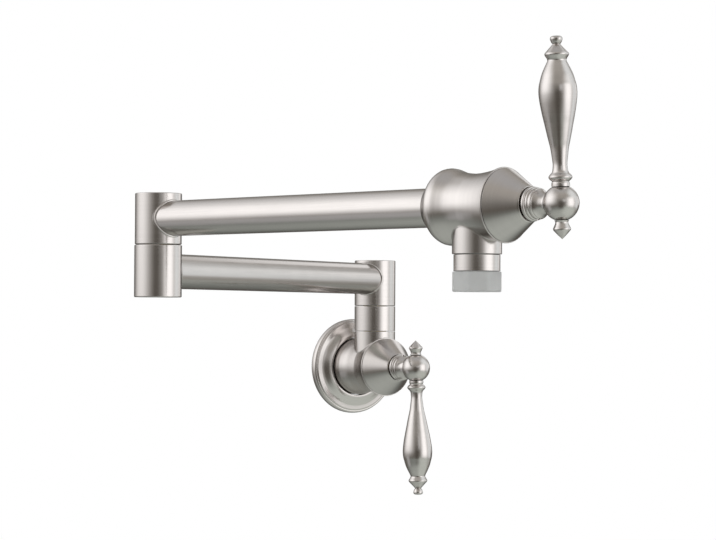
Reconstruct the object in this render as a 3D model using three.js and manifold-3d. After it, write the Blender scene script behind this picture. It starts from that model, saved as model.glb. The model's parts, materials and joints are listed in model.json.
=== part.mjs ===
// A wall mounted pot filler: a wall valve, two hinged arms and a spout valve, each valve with a turned
// lever. Millimetres, +Z up. The origin is the centre of the wall flange's back, the wall is the plane
// Y = 0 and the room is towards -Y. A valve is drawn in a frame of its own: +Z points to the front, +Y is
// up, and Z = 0 is the seam between its body and its cone. An arm is drawn along +X from the axis that it
// swings about.
import * as THREE from 'three';
import { mergeVertices } from 'three/addons/utils/BufferGeometryUtils.js';
import Module from 'manifold-3d';

// ---- driving dimensions ----

// Clearances
const GAP = 0.3; // between pieces that touch or nest
const HANDLE_GAP = 0.6; // between a cone and the handle hub that turns in front of it
const RING_GAP = 0.5; // round a retaining ring

// Arms
const TUBE_RADIUS = 11.3;
const TUBE_WALL = 1.5;
const INNER_REACH = 283.7; // post axis to elbow axis
const OUTER_REACH = 277.8; // elbow axis to outlet axis
const POST_TO_WALL = 32.5;
const INNER_HEADING_DEG = -151.4; // rest direction of the inner arm, from +X towards +Y
const OUTER_TURN_DEG = 74.3; // rest turn of the outer arm from straight

// Hubs that the tubes run into
const HUB_WALL = 3.7; // hub surface outside the tube's radius
const HUB_CHAMFER = 0.7;
const POST_HUB_BELOW = 19.8; // from the tube's axis down to the running seam
const CROWN_RISE = 2.3; // post hub's top above the tube
const KNUCKLE_LOWER_RISE = 5.6; // lower knuckle's ends above and below the tube
const KNUCKLE_UPPER_RISE = 5.1;
const LIP_WIDTH = 1.3; // raised lip round a tube where it enters a hub
const LIP_HEIGHT = 1.1;
const SOCKET_SEAT = 3.0; // depth of a tube's socket in the hub's side
const WATERWAY_RADIUS = 6.0;
const CHAMBER_WALL = 4.2; // hub's wall round its upper bore

// Post under the inner arm
const TEE_RISE = 26.0; // tee's top above the barrel's axis
const COLLAR_HEIGHT = 18.8;

// Swivel spigot and what holds a hub on it
const SHOULDER_WIDTH = 1.8; // step from the hub's upper bore in to its running bore
const SHOULDER_RISE = 12.5; // hub's inner shoulder above the running seam
const SPIGOT_WALL = 3.7;
const SPIGOT_THREAD_STEP = 0.7; // threaded foot outside the running radius
const SPIGOT_THREAD_LENGTH = 10.5;
const SPIGOT_TOP_LAND = 2.2; // spigot above the retaining ring
const O_RING_SECTION = 0.95; // section radius of the swivel's seals
const O_RING_FIRST = 4.6; // first seal above the running seam
const O_RING_PITCH = 4.2;
const THRUST_WASHER = 1.0;
const RETAINING_RING = 1.0;
const RETAINING_GROOVE_DEPTH = 1.1;
const RETAINING_OPENING_DEG = 44;
const CAP_THICKNESS = 4.0;
const CAP_SEAL_SECTION = 0.6;
const GLIDE_WASHER = 0.8;
const GLIDE_WASHER_WIDTH = 3.6;
const GLIDE_WASHER_EDGE = 1.8; // hub's rim outside the washer

// Valve bodies
const SEAM_RADIUS = 21.0; // at the seam with the cone
const WAIST_RADIUS = 18.3;
const SHOULDER_RADIUS = 22.0;
const NOSE_WALL = 3.5; // nose that the cone screws on
const NOSE_LENGTH = 5.0;
const VALVE_DEPTH = 26.9; // seam back to the cartridge's seat

// How an outline leaves the waist and meets each end: [share of the step in radius, share of the length]
const SEAM_FLARE = [[0, 0], [0.12, 0.27], [0.33, 0.55], [0.59, 0.68], [0.85, 0.8], [1, 0.94], [1, 1]];
const SHOULDER_FLARE = [[0.2, 0.39], [0.6, 0.72], [1, 1]];
const DOME = [[0, 0], [0.15, 0.04], [0.33, 0.23], [0.51, 0.39], [0.75, 0.54], [0.95, 0.73]];

// Wall barrel
const SEAM_TO_TEE = 0.9; // from the seam back to the tee's side
const BARREL_RADIUS = 20.9;
const BARREL_SHOWS = 1.9; // plain barrel that stands out of the flange
const BACK_FACE_TO_WALL = 1.0;
const INLET_RADIUS = 10.6; // female inlet thread
const INLET_DEPTH = 15.0;

// Spout body
const SEAM_TO_OUTLET = 7.8; // from the seam back to the outlet boss's side
const DOME_BEHIND_OUTLET = 31.0; // where the outer tube enters, behind the outlet axis
const DOME_LIP = 1.6; // dome's edge outside the tube's socket
const DOME_DEPTH = 13.0;
const TUBE_SOCKET_DEPTH = 12.5;
const OUTLET_RADIUS = 14.1;
const OUTLET_DROP = 27.0; // outlet boss below the spout's axis

// Cone
const CONE_LENGTH = 17.7;
const CONE_LIP_LENGTH = 0.5;
const CONE_EDGE = [[0.3, 0.1], [0.7, 0.4], [1, 0.8]]; // edge outside the taper: step in, step forward
const CONE_TIP_RADIUS = 10.0;
const CONE_FRONT_WALL = 5.1;

// Cartridge
const CARTRIDGE_RADIUS = 10.4;
const CARTRIDGE_WALL = 1.7;
const CARTRIDGE_HEX_STEP = 1.6; // hexagon's corners outside the cartridge's shell
const CARTRIDGE_HEX_LENGTH = 3.4;
const CARTRIDGE_NECK_WALL = 3.1;
const CARTRIDGE_SHELL_END = 10.0; // disc pocket ends this far behind the seam
const SEAT_SEAL = 1.2;
const DISC_THICKNESS = 3.0;
const DISC_PORT_RADIUS = 2.2;
const DISC_PORT_OFFSET = 4.2;
const STEM_FOOT = 2.6;
const STEM_RADIUS = 4.0;
const STEM_TIP_STEP = 0.6; // tip inside the stem's radius
const STEM_TIP_LENGTH = 8.8;
const STEM_SEAL_SECTION = 0.55;
const STEM_SEAL_AT = 4.0; // in front of the seam
const WINDOW_LENGTH = 6.0;
const WINDOW_WIDTH = 8.0;

// Handle hub: turned rings, each smaller than the one behind it, and a neck up to the ball
const HUB_BASE_RADIUS = 9.7;
const HUB_RING_STEP = 0.5;
const HUB_RING_LENGTH = 1.9;
const HUB_RING_GROOVE = 0.4;
const HUB_RINGS = 3;
const HUB_NECK_RADIUS = 5.6;
const HUB_NECK_LENGTH = 7.1; // last ring to the ball's surface
const NECK_FLARE = [[1, 0.05], [0.4, 0.33], [0, 0.7]]; // share of the step in radius, share of the length
const SET_SCREW_RADIUS = 1.5;
const SET_SCREW_DROP = 0.8; // screw's head below the hub's surface

// Ball, lever and finial. The two outlines give [radius, share of the way from the ball to the tip].
const BALL_RADIUS = 9.55;
const TENON_RADIUS = 2.5;
const TENON_INSIDE = 4.5; // tenon's end from the ball's centre
const LEVER_LENGTH = 91.0; // ball centre to the lever's tip
const LEVER_FOOT_RADIUS = 5.05;
const LEVER_COLLAR = [[5.05, 0.02], [5.8, 0.036], [6.5, 0.047], [6.4, 0.063], [5.4, 0.079]];
const LEVER_GRIP = [
  [4.4, 0.094], [4.0, 0.136], [4.2, 0.177], [5.2, 0.251], [7.0, 0.355], [8.8, 0.462],
  [10.2, 0.564], [10.6, 0.622], [9.9, 0.689], [8.6, 0.742], [6.7, 0.795], [5.3, 0.843],
];
const LEVER_KNOB = [
  [6.2, 0.862], [6.75, 0.875], [6.3, 0.89], [4.2, 0.915],
  [2.1, 0.942], [3.0, 0.958], [3.5, 0.978], [2.4, 0.993],
];
const FINIAL_LENGTH = 19.8; // ball centre to the small finial's tip
const FINIAL_FOOT_RADIUS = 4.1;
const FINIAL_OUTLINE = [[3.6, 0.073], [3.9, 0.18], [4.9, 0.434], [4.9, 0.502], [2.0, 0.815]];
const WALL_LEVER_DEG = -88.5; // from the valve's +X, the lever hangs down
const SPOUT_LEVER_DEG = 93.0; // the lever stands up

// Flange: a rounded rim, a dish that rises from it, and a neck round the barrel
const FLANGE_GAP = 0.7; // round the barrel where it leaves the flange
const FLANGE_RADIUS = 35.0;
const FLANGE_DEPTH = 9.6;
const FLANGE_EDGE = 0.4; // rounding of the rim's edges
const FLANGE_RIM_WIDTH = 2.2; // rim's flat back, and the rim outside the dish
const FLANGE_RIM = 5.2; // height of the rim
const FLANGE_DISH_STEP = 0.6; // dish's lip above the rim
const FLANGE_DISH = [[0, 0], [0.38, 0.19], [0.69, 0.62], [1, 1]]; // share of the width, share of the rise
const FLANGE_SHELL = 1.3;
const FLANGE_NECK_WALL = 2.6;
const GRIP_SECTION = 0.95;
const GRIP_LAND = 1.0; // neck behind the grip ring's groove
const GASKET_THICKNESS = 1.6;
const GASKET_WIDTH = 4.6;

// Aerator
const OUTLET_WALL = 2.0;
const AERATOR_SHELL_RADIUS = 13.2;
const AERATOR_SHELL_DROP = 9.3; // shell that shows under the outlet boss
const AERATOR_SHELL_WALL = 1.5;
const AERATOR_THREAD_LENGTH = 8.5;
const AERATOR_WASHER = 1.6;
const AERATOR_WASHER_WIDTH = 2.5;
const NOZZLE_SIDES = 8;
const NOZZLE_ACROSS_FLATS = 27.3;
const NOZZLE_CORNER = 0.65; // rounded corners stand this far outside the flats
const NOZZLE_CHAMFER = 0.9;
const NOZZLE_HEIGHT = 11.3;
const NOZZLE_SLEEVE = 5.0; // part of the plastic nozzle inside the shell
const NOZZLE_WALL = 2.0;
const SCREEN_THICKNESS = 0.8;

// Facets round a full turn
const LARGE = 24;
const MEDIUM = 16;
const SMALL = 10;
const SEAL_FACETS = 14;
const SEAL_SECTION_FACETS = 5;
const ARC_FACETS = 10;
const BALL_RINGS = 10;
const GRIP_STEPS = 10; // along the lever's grip

const OVERRUN = 1.0; // of a cutting tool past the face that it opens

// ---- materials ----

function finish(color, metalness, roughness) {
  return new THREE.MeshStandardMaterial({ color, metalness, roughness });
}

const nickel = finish(0xb0a9a1, 1.0, 0.32);
const brass = finish(0xb8964e, 1.0, 0.4);
const steel = finish(0x9aa0a4, 1.0, 0.3);
const ceramic = finish(0xe9e6df, 0.0, 0.3);
const rubber = finish(0x1d1d1f, 0.0, 0.8);
const acetal = finish(0xece9e0, 0.0, 0.5);
const frosted = finish(0xb9bcbb, 0.0, 0.45);

// ---- solids ----

const wasm = await Module();
wasm.setup();

function toSolid(geometry) {
  const bare = geometry.clone();
  bare.deleteAttribute('normal');
  bare.deleteAttribute('uv');
  const merged = mergeVertices(bare, 1e-4);
  return new wasm.Manifold(new wasm.Mesh({
    numProp: 3,
    vertProperties: merged.attributes.position.array,
    triVerts: new Uint32Array(merged.index.array),
  }));
}

function toGeometry(solid) {
  const mesh = solid.getMesh();
  const geometry = new THREE.BufferGeometry();
  geometry.setAttribute('position', new THREE.BufferAttribute(mesh.vertProperties, 3));
  geometry.setIndex(new THREE.BufferAttribute(mesh.triVerts, 1));
  return geometry;
}

function cut(geometry, ...tools) {
  const left = tools.reduce((solid, tool) => solid.subtract(toSolid(tool)), toSolid(geometry));
  return toGeometry(left);
}

function join(geometry, ...others) {
  const whole = others.reduce((solid, other) => solid.add(toSolid(other)), toSolid(geometry));
  return toGeometry(whole);
}

function common(geometry, other) {
  return toGeometry(toSolid(geometry).intersect(toSolid(other)));
}

// A body of revolution about +Z. Its outline is a list of [radius, height] pairs that runs anticlockwise.
function turned(outline, facets) {
  const points = outline.map(([radius, height]) => new THREE.Vector2(radius, height));
  return new THREE.LatheGeometry(points, facets).rotateX(Math.PI / 2);
}

function rod(radius, low, high, facets) {
  return turned([[0, low], [radius, low], [radius, high], [0, high]], facets);
}

function ring(inner, outer, low, high, facets) {
  return turned([[inner, low], [outer, low], [outer, high], [inner, high], [inner, low]], facets);
}

function rodAlongX(radius, low, high, facets) {
  return rod(radius, low, high, facets).rotateY(Math.PI / 2);
}

function rodAlongY(radius, low, high, facets) {
  return rod(radius, low, high, facets).rotateX(-Math.PI / 2);
}

function sealRing(radius, section, height, facets = SEAL_FACETS) {
  return new THREE.TorusGeometry(radius, section, SEAL_SECTION_FACETS, facets).translate(0, 0, height);
}

// Points of a smooth curve through a few points of an outline, both ends included.
function smooth(points, steps) {
  const curve = new THREE.SplineCurve(points.map(([radius, height]) => new THREE.Vector2(radius, height)));
  return curve.getPoints(steps).map((point) => [point.x, point.y]);
}

// The stretch of an outline from one [radius, height] to another, by shares of the step in each.
function stretch(from, to, shares) {
  return shares.map(([across, along]) => [
    from[0] + across * (to[0] - from[0]),
    from[1] + along * (to[1] - from[1]),
  ]);
}

// How far in front of the ball's centre a round foot of this radius meets the ball.
function seatHeight(radius) {
  return Math.sqrt(BALL_RADIUS ** 2 - radius ** 2);
}

function addPart(group, name, geometry, material) {
  const mesh = new THREE.Mesh(geometry, material);
  mesh.name = name;
  group.add(mesh);
}

// ---- dependent sizes ----

const HUB_RADIUS = TUBE_RADIUS + HUB_WALL;
const SOCKET_RADIUS = TUBE_RADIUS + GAP;
const COPE_RADIUS = HUB_RADIUS - SOCKET_SEAT + GAP;
const CHAMBER_RADIUS = HUB_RADIUS - CHAMBER_WALL;
const BORE_RADIUS = CHAMBER_RADIUS - SHOULDER_WIDTH;
const SPIGOT_RADIUS = BORE_RADIUS - GAP;
const SPIGOT_THREAD_RADIUS = SPIGOT_RADIUS + SPIGOT_THREAD_STEP;
const SPIGOT_HOLE_RADIUS = SPIGOT_THREAD_RADIUS + GAP;
const SPIGOT_BORE = SPIGOT_RADIUS - SPIGOT_WALL;
const GLIDE_WASHER_OUTER = HUB_RADIUS - GLIDE_WASHER_EDGE;
const KNUCKLE_LOWER_HALF = TUBE_RADIUS + KNUCKLE_LOWER_RISE;
const KNUCKLE_UPPER_HALF = TUBE_RADIUS + KNUCKLE_UPPER_RISE;
const POST_HUB_ABOVE = TUBE_RADIUS + CROWN_RISE;
const POST_SEAM_Z = TEE_RISE + COLLAR_HEIGHT;
const INNER_ARM_Z = POST_SEAM_Z + POST_HUB_BELOW;
const ELBOW_SEAM_Z = INNER_ARM_Z + KNUCKLE_LOWER_HALF;
const RING_LOW = SHOULDER_RISE + THRUST_WASHER + 2 * GAP;
const SPIGOT_TOP = RING_LOW + RETAINING_RING + SPIGOT_TOP_LAND;

const VALVE_BORE = CARTRIDGE_RADIUS + GAP;
const NOSE_RADIUS = VALVE_BORE + NOSE_WALL;
const POCKET_RADIUS = CARTRIDGE_RADIUS - CARTRIDGE_WALL;
const STEM_HOLE_RADIUS = STEM_RADIUS + GAP;
const CARTRIDGE_NECK_RADIUS = STEM_HOLE_RADIUS + CARTRIDGE_NECK_WALL;
const CARTRIDGE_HEX = CARTRIDGE_RADIUS + CARTRIDGE_HEX_STEP;
const STEM_TIP_RADIUS = STEM_RADIUS - STEM_TIP_STEP;

const POST_BEHIND_SEAM = HUB_RADIUS + SEAM_TO_TEE;
const WALL_SEAM_TO_WALL = POST_TO_WALL + POST_BEHIND_SEAM;
const OUTLET_BEHIND_SEAM = OUTLET_RADIUS + SEAM_TO_OUTLET;
const DOME_RADIUS = SOCKET_RADIUS + DOME_LIP;
const AERATOR_HOLE_RADIUS = OUTLET_RADIUS - OUTLET_WALL;
const AERATOR_THREAD_RADIUS = AERATOR_HOLE_RADIUS - GAP;

const HUB_START = CONE_LENGTH + GAP + HANDLE_GAP;
const RING_PITCH = HUB_RING_LENGTH + HUB_RING_GROOVE;
const LAST_RING_RADIUS = HUB_BASE_RADIUS - (HUB_RINGS - 1) * HUB_RING_STEP;
const SET_SCREW_FROM_SEAM = HUB_START + (HUB_RINGS - 1) * RING_PITCH + HUB_RING_LENGTH / 2;
const NECK_START = HUB_START + HUB_RINGS * RING_PITCH;
const NECK_END = NECK_START + HUB_NECK_LENGTH;
const BALL_FROM_SEAM = NECK_END + seatHeight(HUB_NECK_RADIUS);

const OPENING_RADIUS = BARREL_RADIUS + FLANGE_GAP;
const GRIP_GROOVE_LENGTH = 2 * GRIP_SECTION + 2 * GAP;
const GRIP_GROOVE_LOW = FLANGE_DEPTH - FLANGE_SHELL - GAP - GRIP_GROOVE_LENGTH;
const GASKET_OUTER = FLANGE_RADIUS - FLANGE_RIM_WIDTH - GAP;

// ---- swivel ----

// A hub with a closed top turns on the spigot. Z = 0 is the running seam under the hub.
function turningHub(above, tubeHeight) {
  const outline = [
    [BORE_RADIUS, 0],
    [HUB_RADIUS - HUB_CHAMFER, 0],
    [HUB_RADIUS, HUB_CHAMFER],
    [HUB_RADIUS, above - HUB_CHAMFER],
    [HUB_RADIUS - HUB_CHAMFER, above],
    [CHAMBER_RADIUS, above],
    [CHAMBER_RADIUS, SHOULDER_RISE],
    [BORE_RADIUS, SHOULDER_RISE],
    [BORE_RADIUS, 0],
  ];
  const recess = rod(GLIDE_WASHER_OUTER + GAP, -GAP, GLIDE_WASHER + GAP, LARGE);
  return cut(withTubeSocket(turned(outline, LARGE), tubeHeight, 1), recess);
}

// The raised lip, the socket and the waterway where a tube runs into a hub, on its +X or -X side.
function withTubeSocket(hub, height, side) {
  const reach = 2 * HUB_RADIUS;
  const [from, to] = side > 0 ? [0, reach] : [-reach, 0];
  const tubeHole = rodAlongX(SOCKET_RADIUS, from, to, LARGE).translate(0, 0, height);
  const seatCore = rod(HUB_RADIUS - SOCKET_SEAT, height - reach, height + reach, LARGE);
  const waterway = rodAlongX(WATERWAY_RADIUS, from, to, MEDIUM).translate(0, 0, height);
  const lipRod = rodAlongX(SOCKET_RADIUS + LIP_WIDTH, from, to, LARGE).translate(0, 0, height);
  const lipRadius = HUB_RADIUS + LIP_HEIGHT;
  const lipShell = ring(CHAMBER_RADIUS + GAP, lipRadius, height - reach, height + reach, LARGE);
  return cut(join(hub, common(lipRod, lipShell)), cut(tubeHole, seatCore), waterway);
}

// The spigot's outline, from its threaded foot to its open top, with grooves for two seals and the ring.
function spigotShape(reachBelow) {
  const sealDepth = 2 * O_RING_SECTION + GAP - (BORE_RADIUS - SPIGOT_RADIUS) + GAP;
  const grooveRadius = SPIGOT_RADIUS - sealDepth;
  const half = O_RING_SECTION + GAP;
  const ringRoot = SPIGOT_RADIUS - RETAINING_GROOVE_DEPTH;
  const grooves = [O_RING_FIRST, O_RING_FIRST + O_RING_PITCH].flatMap((height) => [
    [SPIGOT_RADIUS, height - half],
    [grooveRadius, height - half],
    [grooveRadius, height + half],
    [SPIGOT_RADIUS, height + half],
  ]);
  return turned([
    [SPIGOT_BORE, -reachBelow],
    [SPIGOT_THREAD_RADIUS, -reachBelow],
    [SPIGOT_THREAD_RADIUS, SPIGOT_THREAD_LENGTH - reachBelow],
    [SPIGOT_RADIUS, SPIGOT_THREAD_LENGTH - reachBelow],
    ...grooves,
    [SPIGOT_RADIUS, RING_LOW - GAP],
    [ringRoot, RING_LOW - GAP],
    [ringRoot, RING_LOW + RETAINING_RING + GAP],
    [SPIGOT_RADIUS, RING_LOW + RETAINING_RING + GAP],
    [SPIGOT_RADIUS, SPIGOT_TOP],
    [SPIGOT_BORE, SPIGOT_TOP],
    [SPIGOT_BORE, -reachBelow],
  ], MEDIUM);
}

// An open ring, bent out of flat spring wire.
function retainingRing() {
  const inner = SPIGOT_RADIUS - RETAINING_GROOVE_DEPTH + GAP;
  const outer = CHAMBER_RADIUS - RING_GAP;
  const half = THREE.MathUtils.degToRad(RETAINING_OPENING_DEG / 2);
  const shape = new THREE.Shape();
  shape.absarc(0, 0, outer, half, 2 * Math.PI - half, false);
  shape.absarc(0, 0, inner, 2 * Math.PI - half, half, true);
  shape.closePath();
  const options = { depth: RETAINING_RING, bevelEnabled: false, curveSegments: ARC_FACETS };
  return new THREE.ExtrudeGeometry(shape, options).translate(0, 0, RING_LOW);
}

// What stays with the lower side of a swivel. The group's Z = 0 is the running seam.
function addSpigot(group, prefix, reachBelow) {
  const sealRadius = BORE_RADIUS - GAP - O_RING_SECTION;
  addPart(group, `${prefix}_spigot`, spigotShape(reachBelow), brass);
  addPart(group, `${prefix}_o_ring_lower`, sealRing(sealRadius, O_RING_SECTION, O_RING_FIRST), rubber);
  const upper = sealRing(sealRadius, O_RING_SECTION, O_RING_FIRST + O_RING_PITCH);
  addPart(group, `${prefix}_o_ring_upper`, upper, rubber);
  addPart(group, `${prefix}_retaining_ring`, retainingRing(), steel);
  const glideInner = GLIDE_WASHER_OUTER - GLIDE_WASHER_WIDTH;
  const glide = ring(glideInner, GLIDE_WASHER_OUTER, 0, GLIDE_WASHER, MEDIUM);
  addPart(group, `${prefix}_glide_washer`, glide, acetal);
}

// What turns with the hub. The cap closes the hub's top over a seal.
function addHubInside(group, prefix, above) {
  const capRadius = CHAMBER_RADIUS - GAP;
  const thrustLow = SHOULDER_RISE + GAP;
  const thrust = ring(BORE_RADIUS, capRadius, thrustLow, thrustLow + THRUST_WASHER, MEDIUM);
  addPart(group, `${prefix}_thrust_washer`, thrust, acetal);
  const sealHeight = above - CAP_THICKNESS / 2;
  const grooveHalf = CAP_SEAL_SECTION + GAP;
  const grooveRadius = capRadius - 2 * CAP_SEAL_SECTION - GAP;
  const cap = turned([
    [0, above - CAP_THICKNESS],
    [capRadius, above - CAP_THICKNESS],
    [capRadius, sealHeight - grooveHalf],
    [grooveRadius, sealHeight - grooveHalf],
    [grooveRadius, sealHeight + grooveHalf],
    [capRadius, sealHeight + grooveHalf],
    [capRadius, above],
    [0, above],
  ], MEDIUM);
  addPart(group, `${prefix}_hub_cap`, cap, nickel);
  const sealRadius = capRadius - CAP_SEAL_SECTION;
  addPart(group, `${prefix}_cap_seal`, sealRing(sealRadius, CAP_SEAL_SECTION, sealHeight), rubber);
}

// A straight tube whose ends are coped to the hubs, or cut square where the end's hub is a socket.
function armTube(from, to, height, copedEnds) {
  const outer = rodAlongX(TUBE_RADIUS, from, to, LARGE);
  const inner = rodAlongX(TUBE_RADIUS - TUBE_WALL, from - TUBE_RADIUS, to + TUBE_RADIUS, LARGE);
  const copes = copedEnds.map((x) => (
    rod(COPE_RADIUS, -HUB_RADIUS, HUB_RADIUS, LARGE).translate(x, 0, 0)
  ));
  return cut(outer, inner, ...copes).translate(0, 0, height);
}

// The lower knuckle takes the inner tube from its -X side and the elbow's spigot from above.
function elbowLowerShape() {
  const height = 2 * KNUCKLE_LOWER_HALF;
  const block = turned([
    [0, -height],
    [HUB_RADIUS - HUB_CHAMFER, -height],
    [HUB_RADIUS, -height + HUB_CHAMFER],
    [HUB_RADIUS, -GAP - HUB_CHAMFER],
    [HUB_RADIUS - HUB_CHAMFER, -GAP],
    [0, -GAP],
  ], LARGE);
  const socketed = withTubeSocket(block, -KNUCKLE_LOWER_HALF, -1);
  const bore = rod(SPIGOT_HOLE_RADIUS, -SPIGOT_THREAD_LENGTH - GAP, OVERRUN, MEDIUM);
  const well = rod(WATERWAY_RADIUS, -KNUCKLE_LOWER_HALF - WATERWAY_RADIUS, 0, MEDIUM);
  return cut(socketed, bore, well);
}

// ---- valve set ----

// The waisted outline shared by both bodies, from a shoulder to the seam, in [radius, height] pairs.
function waist(shoulderRadius, shoulderHeight, waistHeight) {
  const narrow = [WAIST_RADIUS, waistHeight];
  const towardsShoulder = stretch(narrow, [shoulderRadius, shoulderHeight], SHOULDER_FLARE);
  return [...towardsShoulder.reverse(), ...stretch(narrow, [SEAM_RADIUS, 0], SEAM_FLARE)];
}

function coneShape() {
  const noseHole = NOSE_RADIUS + GAP;
  const hexHole = CARTRIDGE_HEX + GAP;
  const hexEnd = NOSE_LENGTH + CARTRIDGE_HEX_LENGTH + 2 * GAP;
  const neckHole = CARTRIDGE_NECK_RADIUS + GAP;
  const neckEnd = CONE_LENGTH - CONE_FRONT_WALL;
  return turned([
    [noseHole, 0],
    [SEAM_RADIUS, 0],
    [SEAM_RADIUS, CONE_LIP_LENGTH],
    ...CONE_EDGE.map(([inward, forward]) => [SEAM_RADIUS - inward, CONE_LIP_LENGTH + forward]),
    [CONE_TIP_RADIUS, CONE_LENGTH - GAP],
    [CONE_TIP_RADIUS - GAP, CONE_LENGTH],
    [STEM_HOLE_RADIUS, CONE_LENGTH],
    [STEM_HOLE_RADIUS, neckEnd],
    [neckHole, neckEnd],
    [neckHole, hexEnd],
    [hexHole, hexEnd],
    [hexHole, NOSE_LENGTH + GAP],
    [noseHole, NOSE_LENGTH + GAP],
    [noseHole, 0],
  ], LARGE).translate(0, 0, GAP);
}

// The brass cartridge is open at its back for the discs and has two side windows for the water.
function cartridgeShape() {
  const back = -VALVE_DEPTH + SEAT_SEAL + 2 * GAP;
  const hexLow = NOSE_LENGTH + GAP;
  const hexHigh = hexLow + CARTRIDGE_HEX_LENGTH;
  const neckEnd = CONE_LENGTH - CONE_FRONT_WALL;
  const shell = turned([
    [POCKET_RADIUS, back],
    [CARTRIDGE_RADIUS, back],
    [CARTRIDGE_RADIUS, hexLow],
    [CARTRIDGE_NECK_RADIUS, hexHigh],
    [CARTRIDGE_NECK_RADIUS, neckEnd],
    [STEM_HOLE_RADIUS, neckEnd],
    [STEM_HOLE_RADIUS, -CARTRIDGE_SHELL_END],
    [POCKET_RADIUS, -CARTRIDGE_SHELL_END],
    [POCKET_RADIUS, back],
  ], MEDIUM);
  const core = rod(CARTRIDGE_NECK_RADIUS - GAP, hexLow - OVERRUN, hexHigh + OVERRUN, MEDIUM);
  const hexagon = cut(rod(CARTRIDGE_HEX, hexLow, hexHigh, 6), core);
  const windowAt = -CARTRIDGE_SHELL_END - GAP - WINDOW_LENGTH / 2;
  const windows = new THREE.BoxGeometry(WINDOW_WIDTH, 2 * VALVE_BORE, WINDOW_LENGTH);
  return cut(join(shell, hexagon), windows.translate(0, 0, windowAt));
}

function discShape(low) {
  const high = low + DISC_THICKNESS;
  const ports = [-1, 1].map((side) => (
    rod(DISC_PORT_RADIUS, low - OVERRUN, high + OVERRUN, SMALL).translate(side * DISC_PORT_OFFSET, 0, 0)
  ));
  return cut(rod(POCKET_RADIUS - GAP, low, high, SMALL), ...ports);
}

function stemShape(low) {
  const foot = POCKET_RADIUS - GAP;
  const grooveRadius = STEM_RADIUS - 2 * STEM_SEAL_SECTION - GAP;
  const half = STEM_SEAL_SECTION + GAP;
  const tipLow = HUB_START - HANDLE_GAP;
  const tipHigh = HUB_START + STEM_TIP_LENGTH;
  return turned([
    [0, low],
    [foot, low],
    [foot, low + STEM_FOOT],
    [STEM_RADIUS, low + STEM_FOOT],
    [STEM_RADIUS, STEM_SEAL_AT - half],
    [grooveRadius, STEM_SEAL_AT - half],
    [grooveRadius, STEM_SEAL_AT + half],
    [STEM_RADIUS, STEM_SEAL_AT + half],
    [STEM_RADIUS, tipLow],
    [STEM_TIP_RADIUS, tipLow],
    [STEM_TIP_RADIUS, tipHigh],
    [0, tipHigh],
  ], SMALL);
}

// What stays with the body: the cone, and the cartridge with its seat seal and lower disc.
function addValveInside(group, prefix) {
  const sealLow = -VALVE_DEPTH + GAP;
  const discLow = sealLow + SEAT_SEAL + GAP;
  addPart(group, `${prefix}_cone`, coneShape(), nickel);
  addPart(group, `${prefix}_cartridge`, cartridgeShape(), brass);
  const seatSeal = ring(WATERWAY_RADIUS, CARTRIDGE_RADIUS, sealLow, sealLow + SEAT_SEAL, MEDIUM);
  addPart(group, `${prefix}_seat_seal`, seatSeal, rubber);
  addPart(group, `${prefix}_fixed_disc`, discShape(discLow), ceramic);
}

// ---- handle ----

// The handle's frame has its origin on the seam plane, +Z to the front and the lever along +X.
function hubShape() {
  const rings = [];
  for (let index = 0; index < HUB_RINGS; index += 1) {
    const radius = HUB_BASE_RADIUS - index * HUB_RING_STEP;
    const low = HUB_START + index * RING_PITCH;
    rings.push([radius - HUB_RING_GROOVE, low]);
    rings.push([radius, low + HUB_RING_LENGTH / 2]);
    rings.push([radius - HUB_RING_GROOVE, low + HUB_RING_LENGTH]);
  }
  const tenonEnd = BALL_FROM_SEAM - TENON_INSIDE;
  const body = turned([
    [0, HUB_START],
    ...rings,
    ...stretch([HUB_NECK_RADIUS, NECK_START], [LAST_RING_RADIUS, NECK_END], NECK_FLARE),
    [HUB_NECK_RADIUS, tenonEnd - GAP],
    [TENON_RADIUS, tenonEnd - GAP],
    [TENON_RADIUS, tenonEnd],
    [0, tenonEnd],
  ], MEDIUM);
  const stemHole = rod(STEM_TIP_RADIUS + GAP, 0, HUB_START + STEM_TIP_LENGTH + GAP, SMALL);
  const screwHole = rodAlongX(SET_SCREW_RADIUS + GAP, -2 * HUB_BASE_RADIUS, 0, SMALL)
    .translate(0, 0, SET_SCREW_FROM_SEAM);
  const tenon = rod(TENON_RADIUS, HUB_START, tenonEnd, MEDIUM);
  return cut(body, cut(ballSphere(GAP), tenon), stemHole, screwHole);
}

function ballSphere(extra) {
  return new THREE.SphereGeometry(BALL_RADIUS + extra, MEDIUM, BALL_RINGS).rotateX(Math.PI / 2)
    .translate(0, 0, BALL_FROM_SEAM);
}

function ballShape() {
  const hole = TENON_RADIUS + GAP;
  const end = TENON_INSIDE - GAP;
  const out = BALL_RADIUS + OVERRUN;
  const hubHole = rod(hole, BALL_FROM_SEAM - out, BALL_FROM_SEAM - end, SMALL);
  const leverHole = rodAlongX(hole, end, out, SMALL).translate(0, 0, BALL_FROM_SEAM);
  const finialHole = rodAlongX(hole, -out, -end, SMALL).translate(0, 0, BALL_FROM_SEAM);
  return cut(ballSphere(0), hubHole, leverHole, finialHole);
}

// A turned piece that stands on the ball, from its tenon to its tip, with the seat hollowed to the ball.
function standingPiece(footRadius, outline, length) {
  const foot = seatHeight(footRadius);
  const shape = turned([
    [0, TENON_INSIDE],
    [TENON_RADIUS, TENON_INSIDE],
    [TENON_RADIUS, foot],
    [footRadius, foot],
    ...outline.map(([radius, share]) => [radius, BALL_RADIUS + share * (length - BALL_RADIUS)]),
    [0, length],
  ], SMALL);
  const ball = ballSphere(GAP).translate(0, 0, -BALL_FROM_SEAM);
  const tenon = rod(TENON_RADIUS, 0, BALL_RADIUS + OVERRUN, SMALL);
  return cut(shape, cut(ball, tenon));
}

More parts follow.
